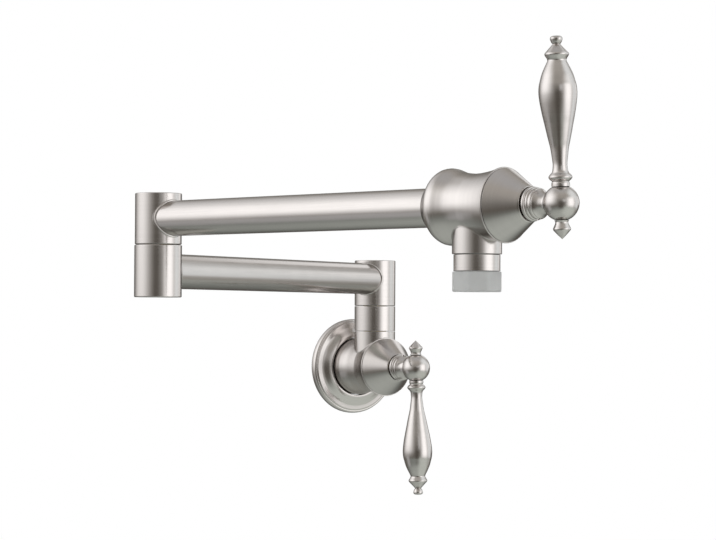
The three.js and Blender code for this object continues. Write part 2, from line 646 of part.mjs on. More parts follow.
function leverShape() {
  const outline = [...LEVER_COLLAR, ...smooth(LEVER_GRIP, GRIP_STEPS), ...LEVER_KNOB];
  return standingPiece(LEVER_FOOT_RADIUS, outline, LEVER_LENGTH).rotateY(Math.PI / 2)
    .translate(0, 0, BALL_FROM_SEAM);
}

function finialShape() {
  return standingPiece(FINIAL_FOOT_RADIUS, FINIAL_OUTLINE, FINIAL_LENGTH).rotateY(-Math.PI / 2)
    .translate(0, 0, BALL_FROM_SEAM);
}

function setScrewShape() {
  const head = SET_SCREW_DROP - LAST_RING_RADIUS;
  const tip = -STEM_TIP_RADIUS - GAP;
  return rodAlongX(SET_SCREW_RADIUS, head, tip, SMALL).translate(0, 0, SET_SCREW_FROM_SEAM);
}

// What turns with the lever, from the moving disc to the lever's tip.
function addHandle(valve, prefix, leverDegrees) {
  const handle = new THREE.Group();
  handle.rotation.z = THREE.MathUtils.degToRad(leverDegrees);
  valve.add(handle);
  const discLow = -VALVE_DEPTH + SEAT_SEAL + DISC_THICKNESS + 3 * GAP;
  const stemLow = discLow + DISC_THICKNESS + GAP;
  addPart(handle, `${prefix}_moving_disc`, discShape(discLow), ceramic);
  addPart(handle, `${prefix}_stem`, stemShape(stemLow), brass);
  const sealRadius = STEM_RADIUS - STEM_SEAL_SECTION;
  addPart(handle, `${prefix}_stem_seal`, sealRing(sealRadius, STEM_SEAL_SECTION, STEM_SEAL_AT), rubber);
  addPart(handle, `${prefix}_handle_hub`, hubShape(), nickel);
  addPart(handle, `${prefix}_handle_ball`, ballShape(), nickel);
  addPart(handle, `${prefix}_lever`, leverShape(), nickel);
  addPart(handle, `${prefix}_ball_finial`, finialShape(), nickel);
  addPart(handle, `${prefix}_set_screw`, setScrewShape(), steel);
}

// ---- wall valve ----

function wallBodyShape() {
  const back = -(WALL_SEAM_TO_WALL - BACK_FACE_TO_WALL);
  const inletEnd = back + INLET_DEPTH;
  const straightEnd = -WALL_SEAM_TO_WALL + FLANGE_DEPTH + BARREL_SHOWS;
  const barrel = turned([
    [0, back],
    [BARREL_RADIUS, back],
    ...waist(BARREL_RADIUS, straightEnd, -POST_BEHIND_SEAM),
    [NOSE_RADIUS, 0],
    [NOSE_RADIUS, NOSE_LENGTH],
    [0, NOSE_LENGTH],
  ], LARGE);
  const threadEnd = TEE_RISE - SPIGOT_THREAD_LENGTH - GAP;
  const tee = rodAlongY(HUB_RADIUS, 0, TEE_RISE, LARGE).translate(0, 0, -POST_BEHIND_SEAM);
  const inlet = rod(INLET_RADIUS, back - OVERRUN, inletEnd, MEDIUM);
  const waterway = rod(WATERWAY_RADIUS, inletEnd - OVERRUN, -VALVE_DEPTH + OVERRUN, MEDIUM);
  const chamber = rod(VALVE_BORE, -VALVE_DEPTH, NOSE_LENGTH + OVERRUN, MEDIUM);
  const spigotHole = rodAlongY(SPIGOT_HOLE_RADIUS, threadEnd, TEE_RISE + OVERRUN, MEDIUM)
    .translate(0, 0, -POST_BEHIND_SEAM);
  const riser = rodAlongY(WATERWAY_RADIUS, 0, TEE_RISE, MEDIUM).translate(0, 0, -POST_BEHIND_SEAM);
  return cut(join(barrel, tee), inlet, waterway, chamber, spigotHole, riser);
}

// The flange is a dished shell. Here Z = 0 is the wall and +Z points into the room.
function flangeShape() {
  const rimInner = FLANGE_RADIUS - FLANGE_RIM_WIDTH;
  const neck = OPENING_RADIUS + FLANGE_NECK_WALL;
  const dishLow = [rimInner - FLANGE_EDGE, FLANGE_RIM + FLANGE_DISH_STEP];
  const crown = [neck - FLANGE_EDGE, FLANGE_DEPTH - FLANGE_EDGE];
  const grooveRadius = OPENING_RADIUS + 2 * GRIP_SECTION;
  const grooveHigh = GRIP_GROOVE_LOW + GRIP_GROOVE_LENGTH;
  const neckFoot = GRIP_GROOVE_LOW - GRIP_LAND;
  return turned([
    [rimInner, 0],
    [FLANGE_RADIUS - FLANGE_EDGE, 0],
    [FLANGE_RADIUS, FLANGE_EDGE],
    [FLANGE_RADIUS, FLANGE_RIM / 2],
    [FLANGE_RADIUS - FLANGE_EDGE, FLANGE_RIM - 2 * FLANGE_EDGE],
    [rimInner + FLANGE_EDGE, FLANGE_RIM],
    ...stretch(dishLow, crown, FLANGE_DISH),
    [OPENING_RADIUS + FLANGE_EDGE, FLANGE_DEPTH],
    [OPENING_RADIUS, FLANGE_DEPTH - FLANGE_EDGE],
    [OPENING_RADIUS, grooveHigh],
    [grooveRadius, grooveHigh],
    [grooveRadius, GRIP_GROOVE_LOW],
    [OPENING_RADIUS, GRIP_GROOVE_LOW],
    [OPENING_RADIUS, neckFoot],
    [neck, neckFoot],
    [rimInner - FLANGE_NECK_WALL, FLANGE_RIM],
    [rimInner, FLANGE_RIM - FLANGE_SHELL],
    [rimInner, 0],
  ], LARGE);
}

function addFlange(group) {
  const gripRadius = BARREL_RADIUS + GAP + GRIP_SECTION;
  const gripRing = sealRing(gripRadius, GRIP_SECTION, GRIP_GROOVE_LOW + GRIP_GROOVE_LENGTH / 2, LARGE);
  const gasket = ring(GASKET_OUTER - GASKET_WIDTH, GASKET_OUTER, 0, GASKET_THICKNESS, LARGE);
  addPart(group, 'wall_flange', flangeShape(), nickel);
  addPart(group, 'flange_grip_ring', gripRing, rubber);
  addPart(group, 'flange_gasket', gasket, rubber);
}

// ---- spout ----

function spoutBodyShape() {
  const outletAt = -OUTLET_BEHIND_SEAM;
  const domeEnd = outletAt - DOME_BEHIND_OUTLET;
  const shoulderAt = domeEnd + DOME_DEPTH;
  const barrel = turned([
    [0, domeEnd],
    ...stretch([DOME_RADIUS, domeEnd], [SHOULDER_RADIUS, shoulderAt], DOME),
    ...waist(SHOULDER_RADIUS, shoulderAt, outletAt),
    [NOSE_RADIUS, 0],
    [NOSE_RADIUS, NOSE_LENGTH],
    [0, NOSE_LENGTH],
  ], LARGE);
  const holeEnd = -OUTLET_DROP + AERATOR_THREAD_LENGTH + AERATOR_WASHER + 2 * GAP;
  const boss = rodAlongY(OUTLET_RADIUS, -OUTLET_DROP, 0, LARGE).translate(0, 0, outletAt);
  const socket = rod(SOCKET_RADIUS, domeEnd - OVERRUN, domeEnd + TUBE_SOCKET_DEPTH, LARGE);
  const waterway = rod(WATERWAY_RADIUS, domeEnd, -VALVE_DEPTH + OVERRUN, MEDIUM);
  const chamber = rod(VALVE_BORE, -VALVE_DEPTH, NOSE_LENGTH + OVERRUN, MEDIUM);
  const outlet = rodAlongY(WATERWAY_RADIUS, -OUTLET_DROP, 0, MEDIUM).translate(0, 0, outletAt);
  const aeratorHole = rodAlongY(AERATOR_HOLE_RADIUS, -OUTLET_DROP - OVERRUN, holeEnd, LARGE)
    .translate(0, 0, outletAt);
  return cut(join(barrel, boss), socket, waterway, chamber, outlet, aeratorHole);
}

// An octagon with rounded corners and a chamfered foot, on a round sleeve.
function nozzleShape(top, sleeve) {
  const low = top - NOZZLE_HEIGHT;
  const halfSide = Math.PI / NOZZLE_SIDES;
  const flats = NOZZLE_ACROSS_FLATS / 2;
  const prism = rod(flats / Math.cos(halfSide), low, top, NOZZLE_SIDES).rotateZ(halfSide);
  const rounder = turned([
    [0, low],
    [flats + NOZZLE_CORNER - NOZZLE_CHAMFER, low],
    [flats + NOZZLE_CORNER, low + NOZZLE_CHAMFER],
    [flats + NOZZLE_CORNER, top],
    [0, top],
  ], LARGE);
  const sleeveRod = rod(sleeve, top - OVERRUN, top + NOZZLE_SLEEVE, MEDIUM);
  const hole = rod(sleeve - NOZZLE_WALL, low - OVERRUN, top + NOZZLE_SLEEVE + OVERRUN, MEDIUM);
  return cut(join(common(prism, rounder), sleeveRod), hole);
}

// The aerator hangs under the outlet. In its group, Z = 0 is the outlet boss's lower face.
function addAerator(group) {
  const shellLow = -GAP - AERATOR_SHELL_DROP;
  const bore = AERATOR_THREAD_RADIUS - AERATOR_SHELL_WALL;
  const shell = turned([
    [bore, shellLow],
    [AERATOR_SHELL_RADIUS, shellLow],
    [AERATOR_SHELL_RADIUS, -GAP],
    [AERATOR_THREAD_RADIUS, -GAP],
    [AERATOR_THREAD_RADIUS, AERATOR_THREAD_LENGTH],
    [bore, AERATOR_THREAD_LENGTH],
    [bore, shellLow],
  ], LARGE);
  addPart(group, 'aerator_shell', shell, nickel);
  const washerLow = AERATOR_THREAD_LENGTH + GAP;
  const washerInner = AERATOR_THREAD_RADIUS - AERATOR_WASHER_WIDTH;
  const washer = ring(washerInner, AERATOR_THREAD_RADIUS, washerLow, washerLow + AERATOR_WASHER, MEDIUM);
  addPart(group, 'aerator_washer', washer, rubber);
  const nozzleTop = shellLow - GAP;
  const sleeve = bore - GAP;
  addPart(group, 'aerator_nozzle', nozzleShape(nozzleTop, sleeve), frosted);
  const screenLow = nozzleTop + NOZZLE_SLEEVE + GAP;
  addPart(group, 'aerator_screen', rod(sleeve, screenLow, screenLow + SCREEN_THICKNESS, MEDIUM), steel);
}

// ---- assembly ----

function buildPotFiller() {
  const filler = new THREE.Group();

  const atWall = new THREE.Group();
  atWall.rotation.x = Math.PI / 2;
  filler.add(atWall);
  addFlange(atWall);

  const wallValve = new THREE.Group();
  wallValve.position.z = WALL_SEAM_TO_WALL;
  atWall.add(wallValve);
  addPart(wallValve, 'valve_body', wallBodyShape(), nickel);
  addValveInside(wallValve, 'wall');
  addHandle(wallValve, 'wall', WALL_LEVER_DEG);

  const post = new THREE.Group();
  post.position.set(0, -POST_TO_WALL, POST_SEAM_Z);
  filler.add(post);
  const collar = ring(BORE_RADIUS, HUB_RADIUS, -COLLAR_HEIGHT + GAP, -GAP, LARGE);
  addPart(post, 'post_collar', collar, nickel);
  addSpigot(post, 'post', COLLAR_HEIGHT + SPIGOT_THREAD_LENGTH);

  const innerArm = new THREE.Group();
  innerArm.rotation.z = THREE.MathUtils.degToRad(INNER_HEADING_DEG);
  post.add(innerArm);
  addPart(innerArm, 'post_hub', turningHub(POST_HUB_BELOW + POST_HUB_ABOVE, POST_HUB_BELOW), nickel);
  addHubInside(innerArm, 'post', POST_HUB_BELOW + POST_HUB_ABOVE);
  addPart(innerArm, 'inner_tube', armTube(0, INNER_REACH, POST_HUB_BELOW, [0, INNER_REACH]), nickel);

  const elbow = new THREE.Group();
  elbow.position.set(INNER_REACH, 0, ELBOW_SEAM_Z - POST_SEAM_Z);
  innerArm.add(elbow);
  addPart(elbow, 'elbow_lower_hub', elbowLowerShape(), nickel);
  addSpigot(elbow, 'elbow', SPIGOT_THREAD_LENGTH);

  const outerArm = new THREE.Group();
  outerArm.rotation.z = THREE.MathUtils.degToRad(OUTER_TURN_DEG);
  elbow.add(outerArm);
  addPart(outerArm, 'elbow_upper_hub', turningHub(2 * KNUCKLE_UPPER_HALF, KNUCKLE_UPPER_HALF), nickel);
  addHubInside(outerArm, 'elbow', 2 * KNUCKLE_UPPER_HALF);
  const tubeEnd = OUTER_REACH - DOME_BEHIND_OUTLET + TUBE_SOCKET_DEPTH - GAP;
  addPart(outerArm, 'outer_tube', armTube(0, tubeEnd, KNUCKLE_UPPER_HALF, [0]), nickel);

  const spout = new THREE.Group();
  spout.position.set(OUTER_REACH + OUTLET_BEHIND_SEAM, 0, KNUCKLE_UPPER_HALF);
  spout.rotation.set(Math.PI / 2, Math.PI / 2, 0);
  outerArm.add(spout);
  addPart(spout, 'spout_body', spoutBodyShape(), nickel);
  addValveInside(spout, 'spout');
  addHandle(spout, 'spout', SPOUT_LEVER_DEG);

  const outlet = new THREE.Group();
  outlet.position.set(OUTER_REACH, 0, KNUCKLE_UPPER_HALF - OUTLET_DROP);
  outerArm.add(outlet);
  addAerator(outlet);
  return filler;
}

export default buildPotFiller();
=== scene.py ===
"""Wall mounted pot filler: the fine surfaces, finishes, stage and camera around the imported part.

Everything is in metres, in the part's own frame: +Z up, the wall is Y = 0 and the room is towards -Y.
A valve is shaped in a frame of its own, with +Z to the front, +Y up and Z = 0 at the seam between its
body and its cone. Outlines of turned pieces are (radius, height) pairs about Z.
"""

import json
import math

import bmesh
import bpy
from mathutils import Matrix, Vector
from mathutils.geometry import interpolate_bezier

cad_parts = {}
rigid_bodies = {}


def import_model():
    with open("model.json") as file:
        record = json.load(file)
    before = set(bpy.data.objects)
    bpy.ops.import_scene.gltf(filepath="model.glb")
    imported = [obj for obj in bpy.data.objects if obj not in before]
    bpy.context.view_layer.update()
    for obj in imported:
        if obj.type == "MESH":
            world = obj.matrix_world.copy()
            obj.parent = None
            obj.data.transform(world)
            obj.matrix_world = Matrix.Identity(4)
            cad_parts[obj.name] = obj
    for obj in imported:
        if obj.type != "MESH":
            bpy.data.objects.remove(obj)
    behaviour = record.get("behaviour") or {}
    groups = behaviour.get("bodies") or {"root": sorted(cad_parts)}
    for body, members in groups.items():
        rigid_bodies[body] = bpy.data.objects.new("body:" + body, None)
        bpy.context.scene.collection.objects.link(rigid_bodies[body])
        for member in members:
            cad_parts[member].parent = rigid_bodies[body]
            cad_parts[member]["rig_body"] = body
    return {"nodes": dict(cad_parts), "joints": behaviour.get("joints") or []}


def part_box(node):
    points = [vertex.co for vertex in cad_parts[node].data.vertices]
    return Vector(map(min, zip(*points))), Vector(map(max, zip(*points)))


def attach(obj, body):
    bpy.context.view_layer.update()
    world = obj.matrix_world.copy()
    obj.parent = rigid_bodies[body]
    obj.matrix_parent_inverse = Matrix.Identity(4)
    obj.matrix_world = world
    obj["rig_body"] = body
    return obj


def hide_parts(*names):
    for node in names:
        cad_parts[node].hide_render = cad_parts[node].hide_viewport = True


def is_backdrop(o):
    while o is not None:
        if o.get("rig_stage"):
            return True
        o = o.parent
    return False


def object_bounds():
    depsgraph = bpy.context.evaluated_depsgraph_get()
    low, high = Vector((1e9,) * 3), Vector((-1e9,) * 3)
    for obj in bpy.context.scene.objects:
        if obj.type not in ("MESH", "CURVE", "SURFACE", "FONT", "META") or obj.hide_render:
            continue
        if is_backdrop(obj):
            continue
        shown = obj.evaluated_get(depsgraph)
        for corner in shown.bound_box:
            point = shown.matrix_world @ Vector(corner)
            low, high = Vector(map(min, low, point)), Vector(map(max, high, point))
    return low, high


bl_info = {
    "name": "Wall Mounted Pot Filler",
    "version": (1, 0, 0),
    "blender": (4, 5, 0),
    "location": "View3D > Sidebar > Pot Filler",
    "description": "Fine surfaces, finishes and studio of a wall mounted pot filler",
    "category": "Object",
}

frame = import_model()
CAD_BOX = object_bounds()

MM = 0.001
TURN_STEPS = 144  # facets round a large turned piece
TUBE_STEPS = 96
SMALL_STEPS = 64
SPAN_STEPS = 5  # stretches between two points of a smooth outline
GRIP_STEPS = 24
SEAT_STEPS = 8
NOZZLE_SIDES = 8
SHARP_ANGLE = math.radians(32)
BEVEL_ANGLE = math.radians(28)
BEVEL_SEGMENTS = 3
MERGE = 1e-6
UP = Vector((0, 0, 1))
OVERRUN = MM  # how far a cutter runs past a face


def extent(node, axis):
    """A CAD node's size along an axis of the part's frame."""
    low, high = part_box(node)
    return high[axis] - low[axis]


JOINTS = {joint["name"]: joint for joint in frame["joints"]}
POST = Vector(JOINTS["wall_swivel"]["pos_m"])
ELBOW = Vector(JOINTS["elbow_swivel"]["pos_m"])
OUTLET = Vector(JOINTS["spout_handle_turn"]["pos_m"])
WALL_FRONT = Vector(JOINTS["wall_handle_turn"]["axis"]).normalized()
SPOUT_FRONT = Vector(JOINTS["spout_handle_turn"]["axis"]).normalized()
HUB_RADIUS = extent("post_collar", 0) / 2
TUBE_RADIUS = extent("inner_tube", 2) / 2
POST_SEAM_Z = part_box("post_hub")[0].z
INNER_REACH = (ELBOW.xy - POST.xy).length
OUTER_REACH = (OUTLET.xy - ELBOW.xy).length


# ---- sizes and colours that a user would change ----


def length(name, description, millimetres):
    """A length in metres, given in millimetres."""
    return bpy.props.FloatProperty(
        name=name, description=description, default=millimetres * MM, precision=5, unit="LENGTH")


def colour(name, description, red, green, blue):
    return bpy.props.FloatVectorProperty(
        name=name, description=description, default=(red, green, blue), subtype="COLOR", min=0, max=1)


def share(name, description, default, highest=1.0):
    return bpy.props.FloatProperty(
        name=name, description=description, default=default, min=0, max=highest, subtype="FACTOR")


def angle(name, description, degrees):
    return bpy.props.FloatProperty(
        name=name, description=description, default=math.radians(degrees), unit="ROTATION")


class PotFillerSizes(bpy.types.PropertyGroup):
    """Sizes of the fine surfaces. They repeat the part's own sizes where a piece meets another."""

    gap: length("Gap", "Between pieces that touch or nest", 0.3)
    edge: length("Edge", "Rounding of a machined edge", 0.3)
    fine_edge: length("Fine edge", "Rounding of a small machined edge", 0.15)
    weld: length("Weld", "Radius of the ridge where a boss meets a barrel", 0.45)
    tube_wall: length("Tube wall", "Wall of the two arm tubes", 1.5)
    lip_width: length("Lip width", "Width of the rounded lip round a tube", 0.9)
    lip_height: length("Lip height", "Lip's crest outside the hub", 1.0)
    lip_fit: length("Lip fit", "Clearance of a tube in its lip", 0.03)
    socket_seat: length("Socket seat", "Depth of a tube's socket in the hub's side", 3.0)
    chamber: length("Chamber", "Radius of a hub's upper bore", 10.8)
    bore: length("Bore", "Radius of a hub's running bore", 9.0)
    shoulder: length("Shoulder", "Hub's inner shoulder above the running seam", 12.5)
    cap: length("Cap", "Thickness of a hub's cap", 4.0)
    waterway: length("Waterway", "Radius of the waterways", 6.0)
    spigot_hole: length("Spigot hole", "Radius of the threaded hole under a swivel", 9.7)
    spigot_depth: length("Spigot depth", "Depth of the threaded hole under a swivel", 10.8)
    outlet_behind_seam: length("Outlet", "Outlet's axis behind the spout's seam", 21.9)
    outlet_radius: length("Outlet radius", "Radius of the outlet boss", 14.1)
    valve_bore: length("Valve bore", "Radius of the cartridge's chamber", 10.7)
    valve_depth: length("Valve depth", "Seam back to the cartridge's seat", 26.9)
    nose: length("Nose", "Radius of the nose that the cone screws on", 14.2)
    nose_length: length("Nose length", "Length of that nose", 5.0)
    inlet: length("Inlet", "Radius of the female inlet thread", 10.6)
    inlet_depth: length("Inlet depth", "Depth of the inlet thread", 15.0)
    thread_pitch: length("Thread pitch", "Pitch of the inlet thread", 1.81)
    ball: length("Ball", "Radius of the handle balls", 10.0)
    stem_hole: length("Stem hole", "Radius of the hub's hole for the stem", 3.7)
    ball_from_seam: length("Ball from seam", "Ball's centre in front of the seam", 40.345)
    tenon: length("Tenon", "Radius of the tenons in the ball", 2.5)
    tenon_inside: length("Tenon inside", "Tenon's end from the ball's centre", 4.5)
    screw_at: length("Set screw", "Set screw in front of the seam", 24.15)
    screw_radius: length("Set screw radius", "Radius of the set screw", 1.5)
    screw_socket: length("Screw socket", "Corner radius of the screw's hexagon socket", 0.9)
    nozzle_flats: length("Nozzle", "Across the flats of the plastic nozzle", 27.3)
    nozzle_height: length("Nozzle height", "Height of the nozzle below the shell", 11.3)
    nozzle_sleeve: length("Nozzle sleeve", "Radius of the sleeve inside the shell", 10.0)
    nozzle_wall: length("Nozzle wall", "Wall of that sleeve", 2.0)
    screen_pitch: length("Screen pitch", "Pitch of the screen's wires", 1.1)
    wall_lever: angle("Wall lever", "Wall lever's turn from the valve's +X", -88.5)
    spout_lever: angle("Spout lever", "Spout lever's turn from the valve's +X", 93.0)


class PotFillerFinish(bpy.types.PropertyGroup):
    """Colours and roughness of the finishes."""

    nickel: colour("Nickel", "Brushed nickel plate", 0.70, 0.665, 0.645)
    nickel_roughness: share("Nickel roughness", "Roughness of the nickel", 0.2)
    brass: colour("Brass", "Machined brass", 0.74, 0.55, 0.26)
    steel: colour("Steel", "Stainless steel", 0.62, 0.62, 0.61)
    ceramic: colour("Ceramic", "Ceramic discs", 0.82, 0.79, 0.72)
    rubber: colour("Rubber", "Seals and gasket", 0.012, 0.012, 0.013)
    acetal: colour("Acetal", "Washers", 0.80, 0.78, 0.72)
    plastic: colour("Plastic", "Translucent nozzle", 0.75, 0.76, 0.75)


class PotFillerStudio(bpy.types.PropertyGroup):
    """Camera, lamps and floor."""

    heading: angle("Heading", "Camera's heading round the part", -31.66)
    pitch: angle("Pitch", "Camera's elevation", -1.24)
    roll: angle("Roll", "Camera's roll", 0.33)
    eye: bpy.props.FloatVectorProperty(
        name="Eye", description="Camera's place", default=(-0.98698, -1.60899, 0.03098), unit="LENGTH")
    lens: bpy.props.FloatProperty(
        name="Lens", description="Focal length on a 36 mm sensor", default=126.67, unit="CAMERA")
    floor: bpy.props.FloatProperty(
        name="Floor", description="Height of the floor", default=-0.34, unit="LENGTH")
    ambient: share("Ambient", "World's light on matt surfaces", 0.5, 2.0)
    key: share("Key", "Key lamp's radiance", 2.4, 20.0)
    fill: share("Fill", "Fill lamp's radiance", 1.2, 20.0)


def sizes():
    return bpy.context.scene.pot_filler_sizes


def finish():
    return bpy.context.scene.pot_filler_finish


def studio():
    return bpy.context.scene.pot_filler_studio


# ---- places ----


def placed(origin, x_axis, y_axis, z_axis):
    """The matrix of a frame with this origin and these axes."""
    return Matrix.Translation(origin) @ Matrix((x_axis, y_axis, z_axis)).transposed().to_4x4()


def valve_place(origin, front):
    """A valve's own frame, with Z to its front and Y up."""
    return placed(origin, UP.cross(front), UP, front)


def upright(origin, along=Vector((1, 0, 0))):
    """A frame with Z up and X along a level direction."""
    level = Vector((along.x, along.y, 0)).normalized()
    return placed(origin, level, UP.cross(level), UP)


def wall_place():
    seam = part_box("wall_cone")[1].y + sizes().gap
    return valve_place(Vector((0, seam, 0)), WALL_FRONT)


def spout_place():
    return valve_place(OUTLET + SPOUT_FRONT * sizes().outlet_behind_seam, SPOUT_FRONT)


def handle_place(valve, lever_angle):
    return valve @ Matrix.Rotation(lever_angle, 4, "Z")


def lever_place(valve, lever_angle):
    """Origin at the ball's centre and Z along the lever."""
    ball = Matrix.Translation((0, 0, sizes().ball_from_seam))
    return handle_place(valve, lever_angle) @ ball @ Matrix.Rotation(math.pi / 2, 4, "Y")


def inner_place(height):
    return upright(Vector((POST.x, POST.y, height)), ELBOW - POST)


def outer_place(height):
    return upright(Vector((ELBOW.x, ELBOW.y, height)), OUTLET - ELBOW)


# ---- outlines ----


def metres(*points):
    """Outline points given in metres."""
    return [Vector(point) for point in points]


def mm(*points):
    """Outline points given in millimetres."""
    return [Vector(point) * MM for point in points]


def smooth(points, steps=SPAN_STEPS):
    """A smooth curve through an outline's points."""
    ends = [points[0], *points, points[-1]]
    curve = [points[0].copy()]
    for before, start, end, after in zip(ends, ends[1:], ends[2:], ends[3:]):
        near = start + (end - before) / 6
        far = end - (after - start) / 6
        curve += [Vector(point[:2]) for point in interpolate_bezier(start, near, far, end, steps + 1)[1:]]
    return curve


def between(start, end, shares):
    """Points between two points of an outline, by shares of the step in radius and in height."""
    step = end - start
    return [start + Vector((across * step.x, along * step.y)) for across, along in shares]


def arc(centre, radius, first, last, steps):
    """Points of a round stretch of an outline, by angles in degrees from +radius."""
    turns = [math.radians(first + (last - first) * step / steps) for step in range(steps + 1)]
    return [centre + radius * Vector((math.cos(turn), math.sin(turn))) for turn in turns]


def radius_at(profile, height):
    """The radius of an outline at a height."""
    for low, high in zip(profile, profile[1:]):
        if min(low.y, high.y) <= height <= max(low.y, high.y) and low.y != high.y:
            return low.x + (high.x - low.x) * (height - low.y) / (high.y - low.y)
    raise ValueError(f"the outline has no height {height}")


# ---- solids ----


def bevelled(solid, edges, width, segments=BEVEL_SEGMENTS):
    """Rounds these edges of a solid."""
    bmesh.ops.bevel(
        solid, geom=edges, offset=width, offset_type="OFFSET", affect="EDGES", segments=segments,
        profile=0.5, material=-1, clamp_overlap=True)
    return solid


def turned(outline, edge=0.0, steps=TURN_STEPS):
    """A body of revolution about Z, its sharp edges rounded. An outline off the axis closes on itself."""
    solid = bmesh.new()
    corners = [solid.verts.new((point.x, 0, point.y)) for point in outline]
    for start, end in zip(corners, corners[1:]):
        solid.edges.new((start, end))
    if outline[0].x > 0:
        solid.edges.new((corners[-1], corners[0]))
    bmesh.ops.spin(
        solid, geom=solid.verts[:] + solid.edges[:], cent=(0, 0, 0), axis=(0, 0, 1), angle=math.tau,
        steps=steps, use_merge=True)
    bmesh.ops.remove_doubles(solid, verts=solid.verts, dist=MERGE)
    bmesh.ops.recalc_face_normals(solid, faces=solid.faces)
    if not edge:
        return solid
    sharp = [side for side in solid.edges if side.is_manifold and side.calc_face_angle() > BEVEL_ANGLE]
    return bevelled(solid, sharp, edge)


def rod(radius, low, high, edge=0.0, steps=TURN_STEPS):
    """A cylinder about Z between two heights."""
    return turned(metres((0, low), (radius, low), (radius, high), (0, high)), edge, steps)


def drill(radius, low, high):
    """The cutter of a bore."""
    return rod(radius, low, high, steps=SMALL_STEPS)


def ring(inner, outer, low, high, edge=0.0, steps=TURN_STEPS):
    """A square sided ring about Z between two heights."""
    return turned(metres((inner, low), (outer, low), (outer, high), (inner, high)), edge, steps)


def moved(solid, matrix):
    bmesh.ops.transform(solid, matrix=matrix, verts=solid.verts)
    return solid


def lifted(solid, height):
    return moved(solid, Matrix.Translation((0, 0, height)))


def along_x(solid, height=0.0):
    """Lays a solid that stands on Z along X, at a height."""
    return lifted(moved(solid, Matrix.Rotation(math.pi / 2, 4, "Y")), height)


def along_y(solid, height=0.0):
    """Lays a solid that stands on Z along Y, at a height."""
    return lifted(moved(solid, Matrix.Rotation(-math.pi / 2, 4, "X")), height)


def round_line(radius, place):
    """A closed line of points that place() gives for each step across and along a circle."""
    turns = [math.tau * step / TUBE_STEPS for step in range(TUBE_STEPS)]
    return [place(radius * math.cos(turn), radius * math.sin(turn)) for turn in turns]


def bead(points, radius):
    """A round ridge along a closed line."""
    curve = bpy.data.curves.new("ridge", "CURVE")
    curve.dimensions = "3D"
    curve.bevel_depth = radius
    curve.bevel_resolution = 3
    spline = curve.splines.new("POLY")
    spline.points.add(len(points) - 1)
    for target, point in zip(spline.points, points):
        target.co = (*point, 1)
    spline.use_cyclic_u = True
    holder = bpy.data.objects.new("ridge", curve)
    solid = bmesh.new()
    solid.from_mesh(holder.to_mesh())
    bpy.data.objects.remove(holder)
    bmesh.ops.remove_doubles(solid, verts=solid.verts, dist=MERGE)
    bmesh.ops.recalc_face_normals(solid, faces=solid.faces)
    return solid


def added(name, data):
    """A new object in the scene."""
    made = bpy.data.objects.new(name, data)
    bpy.context.scene.collection.objects.link(made)
    return made


def as_mesh(name, solid):
    mesh = bpy.data.meshes.new(name)
    solid.to_mesh(mesh)
    solid.free()
    return mesh


def as_object(name, solid):
    return added(name, as_mesh(name, solid))


def combined(solid, operation, *tools):
    """A solid after tools are joined to it, cut from it or kept in common with it."""
    for tool in tools:
        base = as_object("base", solid)
        other = as_object("tool", tool)
        modifier = base.modifiers.new("Boolean", "BOOLEAN")
        modifier.operation = operation
        modifier.solver = "MANIFOLD"
        modifier.object = other
        bpy.context.view_layer.update()
        evaluated = base.evaluated_get(bpy.context.evaluated_depsgraph_get())
        solid = bmesh.new()
        solid.from_mesh(evaluated.to_mesh())
        evaluated.to_mesh_clear()
        for made in (base, other):
            mesh = made.data
            bpy.data.objects.remove(made)
            bpy.data.meshes.remove(mesh)
        bmesh.ops.remove_doubles(solid, verts=solid.verts, dist=MERGE)
        if not solid.faces:
            raise RuntimeError(f"the {operation.lower()} left nothing")
    return solid


def cut(solid, *tools):
    return combined(solid, "DIFFERENCE", *tools)


def join(solid, *tools):
    return combined(solid, "UNION", *tools)


def common(solid, tool):
    return combined(solid, "INTERSECT", tool)


def add_piece(node, solid, place, material):
    """Puts a fine surface where its CAD node is, on that node's body."""
    moved(solid, place)
    piece = as_object(f"{node}_fine", solid)
    piece.data.shade_smooth()
    piece.data.set_sharp_from_angle(angle=SHARP_ANGLE)
    piece.data.materials.append(material)
    normals = piece.modifiers.new("Weighted normals", "WEIGHTED_NORMAL")
    normals.keep_sharp = True
    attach(piece, frame["nodes"][node]["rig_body"])
    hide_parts(node)
    return piece


# ---- shader nodes ----


